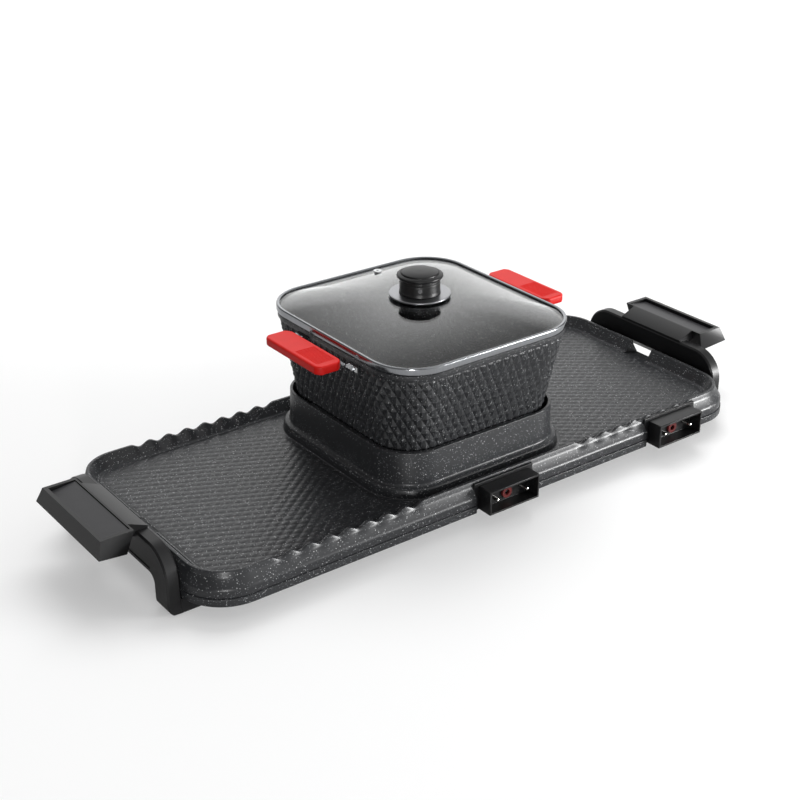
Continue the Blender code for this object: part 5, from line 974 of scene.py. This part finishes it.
    def faces(self, rows: int, columns: int, band_start: int, levels: int) -> list[list[int]]:
        """Quads everywhere, and in the diamond band triangles split along the valleys.

        Args:
            rows: rings of the whole pot.
            columns: points in a ring.
            band_start: first ring of the diamond band.
            levels: steps down the band.

        Returns:
            Corner numbers of every face.
        """
        quads = grid_quads(rows, columns)
        row = np.arange(rows - 1).repeat(columns)
        column = np.tile(np.arange(columns), rows - 1)
        in_band = (row >= band_start) & (row < band_start + levels)
        i, j = column[in_band], row[in_band] - band_start
        falling = (i + j + 1) % (2 * self.fine) == 0
        cell = quads[in_band]
        first = np.where(falling[:, None], cell[:, [0, 1, 3]], cell[:, [0, 1, 2]])
        second = np.where(falling[:, None], cell[:, [1, 2, 3]], cell[:, [0, 2, 3]])
        return quads[~in_band].tolist() + first.tolist() + second.tolist() + end_caps(rows, columns)

    def pads(self) -> None:
        """Four cast pads that the grip brackets are screwed to."""
        depth, y, z = np.meshgrid([0.0, 1.0], [0.0, 1.0], [0.0, 1.0], indexing="ij")
        blocks, faces = [], []
        for side in (1, -1):
            for row in (1, -1):
                x = side * (self.top_half[0] - self.pad_root + depth * (self.pad_reach + self.pad_root))
                width = row * (self.pad_from_y + y * self.pad_width) + self.centre_y
                height = self.lip_z - self.pad_below_lip + z * self.pad_height
                outward = BOX_FACES if side * row > 0 else BOX_FACES[:, ::-1]
                faces += (outward + x.size * len(blocks)).tolist()
                blocks.append(np.stack((x, width, height), axis=3))
        pads = make_mesh(np.array(blocks), faces)
        soften(finish_piece("bracket_pads", pads, STONE, Body.POT), self.pad_edge_mm)

    def build(self) -> None:
        """Build the pot and its pads."""
        self.shell()
        self.pads()


@dataclass
class SoftenedPair:
    """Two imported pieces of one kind, copied with their edges rounded by width_mm, in place of crisp ones."""

    kind: str
    places: tuple[str, str]
    finish: Any
    body: Body
    slot: Slot
    width_mm: float

    def build(self) -> None:
        """Copy each node's mesh, merge its corners and flats, and round its edges."""
        for place in self.places:
            name = f"{self.kind}_{place}"
            shape = bmesh.new()
            shape.from_mesh(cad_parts[name].data)
            bmesh.ops.remove_doubles(shape, verts=shape.verts, dist=MERGED)
            bmesh.ops.dissolve_limit(shape, angle_limit=math.radians(FLAT_DEGREES), verts=shape.verts,
                                     edges=shape.edges, use_dissolve_boundaries=False)
            mesh = bpy.data.meshes.new(name)
            shape.to_mesh(mesh)
            shape.free()
            if "custom_normal" in mesh.attributes:
                mesh.attributes.remove(mesh.attributes["custom_normal"])
            mesh.materials.clear()
            soften(finish_piece(name + "_moulded", mesh, self.finish, self.body, [name],
                                MOULDED_DEGREES), self.width_mm)


@dataclass
class PotGrip:
    """A silicone grip with rounded ends and fine ribs across the front part of its top.

    Its side is 1 on the right and -1 on the left.
    """

    side: int
    inner_round: float = 0.0090
    outer_round: float = 0.0075
    round_power: float = 1.7
    edge: float = 0.0022
    rib_pitch: float = 0.0026
    rib_rise: float = 0.0007
    ribs_from_middle: float = 0.0020
    ribs_from_end: float = 0.0085
    ribs_from_rim: float = 0.0040
    rib_fade_along: float = 0.0012
    rib_fade_across: float = 0.0010
    # The grid, and how far its rows crowd at the ends.
    rows: int = 361
    columns: int = 49
    end_crowding: float = 0.35
    corner_limit: float = 0.999

    def build(self) -> None:
        """Close two height fields whose edges fall as a quarter circle, with sine ribs on the top."""
        name = "pot_grip_right" if self.side > 0 else "pot_grip_left"
        low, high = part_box(name)
        centre_y = (low[1] + high[1]) / 2
        inner, outer = sorted((abs(low[0]), abs(high[0])))
        half = (high[1] - low[1]) / 2
        run = np.linspace(-1, 1, self.rows)
        y = half * (self.end_crowding * np.sin(run * np.pi / 2) + (1 - self.end_crowding) * run)
        near_end = half - np.abs(y)
        start = inner + self.corner(near_end, self.inner_round)
        end = outer - self.corner(near_end, self.outer_round)
        span = (1 - np.cos(np.linspace(0, np.pi, self.columns))) / 2
        x = start[:, None] + (end - start)[:, None] * span[None, :]
        y = np.broadcast_to(y[:, None], x.shape)
        near = np.minimum(np.minimum(x - start[:, None], end[:, None] - x), near_end[:, None])
        drop = self.edge - np.sqrt(np.maximum(self.edge ** 2 - np.maximum(self.edge - near, 0) ** 2, 0))
        ribs = (1 + np.cos(2 * np.pi * y / self.rib_pitch)) / 2
        window = (self.fade(-y - self.ribs_from_middle, self.rib_fade_along)
                  * self.fade(half - self.ribs_from_end + y, self.rib_fade_along)
                  * self.fade(x - start[:, None] - self.ribs_from_rim, self.rib_fade_across)
                  * self.fade(end[:, None] - self.ribs_from_rim - x, self.rib_fade_across))
        top = high[2] - drop - self.rib_rise * window * (1 - ribs)
        foot = low[2] + drop
        if self.side < 0:
            x, y, top, foot = -x[:, ::-1], y[:, ::-1], top[:, ::-1], foot[:, ::-1]
        finish_piece(name + "_ribbed", slab(x, y + centre_y, top, foot), RED_SILICONE, Body.POT,
                     [name], ROLLED_DEGREES)

    def corner(self, near_end: np.ndarray, reach: float) -> np.ndarray:
        """Step of a rounded corner, reach * (1 - (1 - (1 - d / reach)^power)^(1 / power)), d from the end."""
        into = np.clip(1 - near_end / reach, 0, self.corner_limit)
        return reach * (1 - (1 - into ** self.round_power) ** (1 / self.round_power))

    @staticmethod
    def fade(value: np.ndarray, run: float) -> np.ndarray:
        """Zero below zero, one from run on, straight between."""
        return np.clip(value / run, 0, 1)


@dataclass
class GlassLid:
    """The domed lid: rolled steel rim, glass with a bored steam hole, and the knob's turned parts."""

    glass_thickness: float = 0.0040
    glass_rise: float = 0.0156
    flat_edge: float = 0.0042
    seat: float = 0.0250
    rim_height: float = 0.0088
    sheet: float = 0.0009
    lip: float = 0.0036
    bore: float = 0.0026
    corner_radius: float = 0.0502
    vent: tuple[float, float] = (0.017, 0.098)
    vent_radius: float = 0.0039
    drill_above: float = 0.03
    # A small grey dot in the knob's neck, set on the side that faces the camera.
    mark_radius: float = 0.0022
    mark_round: float = 0.0002
    mark_root: float = 0.0015
    mark_sink: float = 0.0004
    mark_faces: tuple[float, float, float] = (-0.6, -0.8, 0.0)
    rim_side_points: int = 33
    rim_corner_steps: int = 16
    dome_steps: int = 28
    ring_points: int = 160
    drill_steps: int = 32
    mark_steps: int = 24

    def __post_init__(self) -> None:
        """Read the lid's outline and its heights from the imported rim."""
        low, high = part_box("lid_rim")
        self.half_x, self.half_y = high[0], (high[1] - low[1]) / 2
        self.centre_y = (low[1] + high[1]) / 2
        self.foot_z, self.top_z = low[2], high[2]
        self.edge_z = self.foot_z + self.rim_height / 2

    def rim(self) -> None:
        """Carry the rolled channel's closed section round the lid."""
        sheet, lip = self.sheet, -self.lip
        glass = self.glass_thickness / 2 + 0.0003
        back, above, below = -2 * sheet + 0.0003, self.edge_z + glass, self.edge_z - glass
        section = rounded_profile(np.array([
            (lip, self.foot_z, 0.0003), (0, self.foot_z, 0.0022), (0, self.top_z, 0.0026),
            (lip, above + sheet, 0.0004), (lip, above, 0.0002), (back, above, 0.0002), (back, below, 0.0002),
            (lip, below, 0.0002),
        ]), steps=5, closed=True)
        spots, ways = outline(self.half_x, self.half_y, self.corner_radius,
                              [np.linspace(-1, 1, self.rim_side_points)] * 4, self.rim_corner_steps)
        rings = carry(spots + np.array([0.0, self.centre_y]), ways, section)
        faces = grid_quads(len(section), len(spots), wrap_rows=True)[:, ::-1].tolist()
        finish_piece("lid_rim_rolled", make_mesh(rings, faces), RIM_STEEL, Body.LID,
                     ["lid_rim"], ROLLED_DEGREES)

    def dome(self) -> None:
        """Make the glass: level near the rim, then rise * (1 - share^2) up to the knob's seat."""
        share = np.linspace(1, 0, self.dome_steps)
        halves = np.array([[self.half_x], [self.half_y]])
        halves = self.seat + (halves - self.flat_edge - self.seat) * share
        radius = np.minimum(self.seat + (self.corner_radius - self.flat_edge - self.seat) * share,
                            halves.min(axis=0))
        tuck = 2 * self.sheet
        rows = [self.loop(self.half_x - tuck, self.half_y - tuck, self.corner_radius - tuck, 0.0)]
        for half_x, half_y, bend, part in zip(halves[0], halves[1], radius, share):
            rows.append(self.loop(half_x, half_y, bend, self.glass_rise * (1 - part * part)))
        rows.append(self.loop(self.bore, self.bore, self.bore, self.glass_rise))
        upper = np.array(rows)
        lower = upper.copy()
        upper[..., 2] += self.edge_z + self.glass_thickness / 2
        lower[..., 2] += self.edge_z - self.glass_thickness / 2
        rings = np.concatenate((upper[::-1], lower))
        mesh = make_mesh(rings, grid_quads(len(rings), rings.shape[1], wrap_rows=True).tolist())
        self.cut_vent(finish_piece("lid_dome", mesh, GLASS, Body.LID, ["lid_glass"],
                                   ROLLED_DEGREES))

    def loop(self, half_x: float, half_y: float, radius: float, height: float) -> np.ndarray:
        """One ring of the glass: a rounded rectangle at a height."""
        share = np.arange(self.ring_points)[None, :] / self.ring_points
        return even_rings(half_x, half_y, radius, 0.0, height, share, self.centre_y)[0]

    def cut_vent(self, glass: bpy.types.Object) -> None:
        """Bore the steam hole straight down through the glass.

        Args:
            glass: the lid's glass.
        """
        line = np.array([(self.vent_radius, self.top_z + self.drill_above), (self.vent_radius, self.foot_z)])
        middle = (self.vent[0], self.vent[1] + self.centre_y)
        rings = turned_rings(line, middle, self.drill_steps)
        drill = put_in_scene("vent_drill", make_mesh(rings, capped(rings)))
        change = glass.modifiers.new("vent_bore", "BOOLEAN")
        change.solver = "EXACT"
        change.object = drill
        bored = bpy.data.meshes.new_from_object(glass.evaluated_get(bpy.context.evaluated_depsgraph_get()))
        glass.modifiers.clear()
        glass.data = bored
        bpy.data.objects.remove(drill)

    @staticmethod
    def extent(name: str) -> tuple[float, float, float]:
        """Radius, foot and top of a packed turned part."""
        low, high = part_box(name)
        return high[0], low[2], high[2]

    def turned_parts(self) -> None:
        """Turn the flange, neck, cap and washer from rounded profiles of radius, height and rounding."""
        bore, core = self.bore, 0.0010
        reach, foot, top = self.extent("knob_flange")
        self.turn("knob_flange", SATIN_STEEL, Slot.STEEL, (
            (bore, foot, 0), (reach - 0.0030, foot, 0.0010), (reach, foot + 0.0016, 0.0006),
            (reach, top - 0.0004, 0.0005), (reach - 0.0016, top, 0.0006), (bore, top, 0)))
        reach, foot, top = self.extent("knob_neck")
        self.turn("knob_neck", BLACK_PLASTIC, Slot.PLASTIC, (
            (core, foot + 0.0103, 0), (bore, foot + 0.0103, 0), (bore, foot, 0), (reach, foot, 0.0006),
            (reach - 0.0006, foot + 0.0030, 0.0010), (reach - 0.0006, top - 0.0034, 0.0010),
            (reach - 0.0016, top - 0.0026, 0.0004), (reach - 0.0016, top, 0), (core, top, 0)), False)
        reach, foot, top = self.extent("knob_cap")
        self.turn("knob_cap", BLACK_PLASTIC, Slot.PLASTIC, (
            (core, foot, 0), (reach - 0.0020, foot, 0.0010), (reach, foot + 0.0016, 0.0010),
            (reach, foot + 0.0036, 0.0012), (reach - 0.0040, foot + 0.0048, 0.0006),
            (reach - 0.0048, foot + 0.0040, 0.0003), (reach - 0.0052, foot + 0.0058, 0.0008),
            (reach - 0.0110, top - 0.0006, 0.0050), (core, top, 0)), False)
        reach, foot, top = self.extent("knob_washer")
        self.turn("knob_washer", BLACK_RUBBER, Slot.PLASTIC, (
            (bore, foot, 0), (reach - 0.0020, foot, 0.0010), (reach, foot + 0.0018, 0.0008),
            (reach, top, 0.0004), (bore, top, 0)))

    def turn(self, name: str, finish: Any, slot: Slot, corners: tuple[tuple[float, float, float], ...],
             hollow: bool = True) -> None:
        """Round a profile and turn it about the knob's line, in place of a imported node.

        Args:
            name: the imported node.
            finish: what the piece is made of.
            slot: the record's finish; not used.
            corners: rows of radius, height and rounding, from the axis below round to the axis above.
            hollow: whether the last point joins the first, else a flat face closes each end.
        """
        line = rounded_profile(np.array(corners), steps=5)
        rings = turned_rings(line, (0.0, self.centre_y), TURN_STEPS)
        faces = grid_quads(len(line), TURN_STEPS, wrap_rows=True).tolist() if hollow else capped(rings)
        mesh = make_mesh(rings, [face[::-1] for face in faces])
        finish_piece(name + "_turned", mesh, finish, Body.LID, [name])

    def neck_mark(self) -> None:
        """Set a small grey dot in the neck, facing the camera: radius * (cos a, sin a) about the line it looks
        along.
        """
        low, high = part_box("knob_neck")
        out, up = np.array(self.mark_faces), np.array([0.0, 0.0, 1.0])
        angle = np.linspace(0, 2 * np.pi, self.mark_steps, endpoint=False)[:, None]
        circle = np.cos(angle) * np.cross(up, out) + np.sin(angle) * up
        middle = np.array([0.0, self.centre_y, (low[2] + high[2]) / 2])
        front, edge = high[0] - self.mark_sink, self.mark_round
        steps = ((0.0, self.mark_root), (0.0, edge), (edge, 0.0))
        rings = np.stack([middle + (front - depth) * out + (self.mark_radius - inset) * circle
                          for inset, depth in steps])
        mesh = make_mesh(rings, [face[::-1] for face in capped(rings)])
        finish_piece("neck_mark", mesh, GREY_DOT, Body.LID)

    def build(self) -> None:
        """Build the whole lid."""
        self.rim()
        self.dome()
        self.turned_parts()
        self.neck_mark()


@dataclass
class Dressing:
    """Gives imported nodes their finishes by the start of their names."""

    finishes: dict[Any, tuple[str, ...]]

    def dress(self) -> int:
        """Put each finish on the nodes whose names start with one of its words.

        Returns:
            How many nodes got a finish.
        """
        count = 0
        for name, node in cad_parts.items():
            for finish, starts in self.finishes.items():
                if name.startswith(starts):
                    for slot in node.material_slots:
                        slot.material = material_of(finish)
                    count += 1
        return count


@dataclass(frozen=True)
class SoftBox:
    """A rectangle of light that faces the object; glossy things show it if it is mirrored."""

    name: str
    at: tuple[float, float, float]
    size: tuple[float, float]
    watts: float
    mirrored: bool = True
    looks_at: tuple[float, float, float] = (0.0, 0.0, 0.08)

    def hang(self) -> None:
        """Put the lamp in the scene; clear things don't show it."""
        data = bpy.data.lights.new(self.name, "AREA")
        data.shape = "RECTANGLE"
        data.size, data.size_y = self.size
        data.energy = self.watts
        lamp = put_in_scene(self.name, data)
        lamp.visible_glossy = self.mirrored
        lamp.visible_transmission = False
        facing = (Vector(self.looks_at) - Vector(self.at)).to_track_quat("-Z", "Y")
        lamp.matrix_world = Matrix.Translation(self.at) @ facing.to_matrix().to_4x4()


@dataclass(frozen=True)
class Glow:
    """A wide soft light of the world; start and full are cosines of the angle from its direction."""

    way: tuple[float, float, float]
    strength: float
    start: float
    full: float = 1.0


@dataclass
class Studio:
    """Pale floor, plain soft lights and the camera at the photograph's angle."""

    # Camera: where it stands, its angles in degrees and its lens.
    camera_at: tuple[float, float, float] = (-0.8508, -1.0960, 0.7559)
    azimuth: float = -36.81
    elevation: float = 26.05
    lens_mm: float = 64.87
    sensor_mm: float = 36.0
    clip: tuple[float, float] = (0.05, 60.0)
    # Floor: its tones to the eye and to bounced light, and its own glow from the lift near by to one far off.
    floor_half: float = 8.0
    floor_below: float = 0.2 * MM
    floor_tones: tuple[str, str] = ("#d0d0d0", "#d4d4d4")
    floor_bounce: str = "#585858"
    floor_lift: float = 0.3
    floor_near: float = 0.7
    floor_far: float = 2.4
    # World: even light and glows; lamps.
    level: float = 0.11
    glows: tuple[Glow, ...] = (
        Glow((0.55, 0.80, 0.10), 1.25, 0.6),
        Glow((0.54, -0.74, 0.44), 0.6, 0.5),
        Glow((0.0, 0.0, 1.0), 0.35, 0.2),
    )
    lamps: tuple[SoftBox, ...] = (
        SoftBox("top_box", (0.7, 0.8, 1.9), (1.6, 1.2), 30.0, mirrored=False),
        SoftBox("front_box", (1.6, -1.6, 0.3), (0.7, 0.35), 56.0),
        SoftBox("corner_box", (-1.3, -1.7, 0.25), (0.24, 0.5), 15.0),
    )

    def aim(self) -> None:
        """Place the camera: back = (sin a cos e, -cos a cos e, sin e), right = (cos a, sin a, 0)."""
        turn, rise = math.radians(self.azimuth), math.radians(self.elevation)
        back = Vector((math.sin(turn) * math.cos(rise), -math.cos(turn) * math.cos(rise), math.sin(rise)))
        right = Vector((math.cos(turn), math.sin(turn), 0.0))
        up = back.cross(right)
        data = bpy.data.cameras.new("studio_camera")
        data.sensor_width = self.sensor_mm
        data.lens = self.lens_mm
        data.clip_start, data.clip_end = self.clip
        camera = put_in_scene("studio_camera", data)
        turned = Matrix((right, up, back)).transposed().to_4x4()
        camera.matrix_world = Matrix.Translation(self.camera_at) @ turned
        bpy.context.scene.camera = camera

    def floor(self) -> None:
        """Lay a flat pale floor, matt white paint: nearly white to the camera, with soft shadows.

        It gives the object little light back, and its glow grows outwards, so that it ends in white.
        """
        half, z = self.floor_half, -self.floor_below
        corners = np.array([(-half, -half, z), (half, -half, z), (half, half, z), (-half, half, z)])
        material, tree, place = fresh_material("matt_white_paint")
        drift = add_node(tree, "TexNoise", {"Scale": 1.0}, {"Vector": place})
        colour = add_node(tree, "Mix", {"data_type": "RGBA", 6: linear(self.floor_tones[0]),
                                       7: linear(self.floor_tones[1])}, {0: drift.outputs["Fac"]})
        rays = add_node(tree, "LightPath")
        dimmed = add_node(tree, "Mix", {"data_type": "RGBA", 7: linear(self.floor_bounce)},
                          {0: rays.outputs["Is Diffuse Ray"], 6: colour.outputs[2]})
        matt = add_node(tree, "BsdfDiffuse", links={"Color": dimmed.outputs[2]})
        seen = add_node(tree, "Math", {"operation": "MAXIMUM"},
                        {0: rays.outputs["Is Camera Ray"], 1: rays.outputs["Is Transmission Ray"]})
        reach = add_node(tree, "VectorMath", {"operation": "LENGTH"}, {0: place})
        paler = add_node(tree, "MapRange", {"From Min": self.floor_near, "From Max": self.floor_far,
                                            "To Min": self.floor_lift}, {"Value": reach.outputs["Value"]})
        lift = add_node(tree, "Math", {"operation": "MULTIPLY"},
                        {0: seen.outputs["Value"], 1: paler.outputs["Result"]})
        glow = add_node(tree, "Emission", links={"Strength": lift.outputs["Value"]})
        both = add_node(tree, "AddShader", links={0: matt.outputs["BSDF"], 1: glow.outputs["Emission"]})
        add_node(tree, "OutputMaterial", links={"Surface": both.outputs["Shader"]})
        mesh = make_mesh(corners, [[0, 1, 2, 3]])
        mesh.materials.append(material)
        floor = put_in_scene("studio_floor", mesh)

    def world(self) -> None:
        """Low even light plus wide soft glows, shown as plain white to the camera."""
        world = bpy.data.worlds.new("studio_world")
        world.use_nodes = True
        tree = world.node_tree
        tree.nodes.clear()
        way = add_node(tree, "TexCoord").outputs["Generated"]
        total = add_node(tree, "Value")
        total.outputs["Value"].default_value = self.level
        light = total.outputs["Value"]
        for glow in self.glows:
            facing = add_node(tree, "VectorMath", {"operation": "DOT_PRODUCT",
                                                   1: Vector(glow.way).normalized()}, {0: way})
            share = add_node(tree, "MapRange", {"interpolation_type": "SMOOTHSTEP", "From Min": glow.start,
                                                "From Max": glow.full, "To Max": glow.strength},
                             {"Value": facing.outputs["Value"]})
            both = add_node(tree, "Math", {"operation": "ADD"}, {0: light, 1: share.outputs["Result"]})
            light = both.outputs["Value"]
        seen = add_node(tree, "LightPath").outputs["Is Camera Ray"]
        shown = add_node(tree, "Mix", {"data_type": "FLOAT", 3: 1.0}, {0: seen, 2: light})
        sky = add_node(tree, "Background", {"Color": (1, 1, 1, 1)}, {"Strength": shown.outputs[0]})
        add_node(tree, "OutputWorld", links={"Surface": sky.outputs["Background"]})
        bpy.context.scene.world = world

    def build(self) -> None:
        """Set up the whole studio."""
        self.aim()
        self.floor()
        self.world()
        for lamp in self.lamps:
            lamp.hang()
        bpy.context.scene.view_settings.view_transform = "Standard"


def main() -> None:
    """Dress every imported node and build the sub-assemblies in order."""
    logging.basicConfig(level=logging.INFO, format="%(name)s: %(message)s")
    dressing = Dressing({
        STONE: ("grill_tray", "cook_pot"),
        BLACK_PLASTIC: ("end_handle", "knob_neck", "knob_cap", "socket_housing", "socket_flange"),
        PANEL_PLASTIC: ("grip_panel",),
        RED_SILICONE: ("pot_grip",),
        BLACK_RUBBER: ("foot_pad", "knob_washer"),
        GLASS: ("lid_glass",),
        STEEL: ("lid_rim", "lid_vent", "knob_flange", "pot_bracket", "probe_sleeve"),
        ZINC: ("knob_screw", "bracket_screw", "bottom_cover", "cover_screw", "handle_screw", "heater_clamp"),
        PIN_METAL: ("socket_pin",),
        CERAMIC: ("terminal_bush",),
        DARK_SEAL: ("probe_seal",),
        SHEATH: ("grill_heater", "pot_heater"),
    })
    log.info("dressed %d nodes", dressing.dress())
    GrillTray().build()
    CookPot().build()
    for side in (1, -1):
        PotGrip(side).build()
    GlassLid().build()
    ends, inlets = ("left", "right"), ("centre", "right")
    for pair in (
            SoftenedPair("end_handle", ends, BLACK_PLASTIC, Body.GRILL, Slot.PLASTIC, 1.1),
            SoftenedPair("grip_panel", ends, PANEL_PLASTIC, Body.GRILL, Slot.PANEL, 0.3),
            SoftenedPair("socket_housing", inlets, BLACK_PLASTIC, Body.GRILL, Slot.PLASTIC, 0.6),
            SoftenedPair("socket_flange", inlets, BLACK_PLASTIC, Body.GRILL, Slot.PLASTIC, 0.6),
            SoftenedPair("pot_bracket", ends, STEEL, Body.POT, Slot.STEEL, 0.35)):
        pair.build()
    Studio().build()


if __name__ == "__main__":
    main()
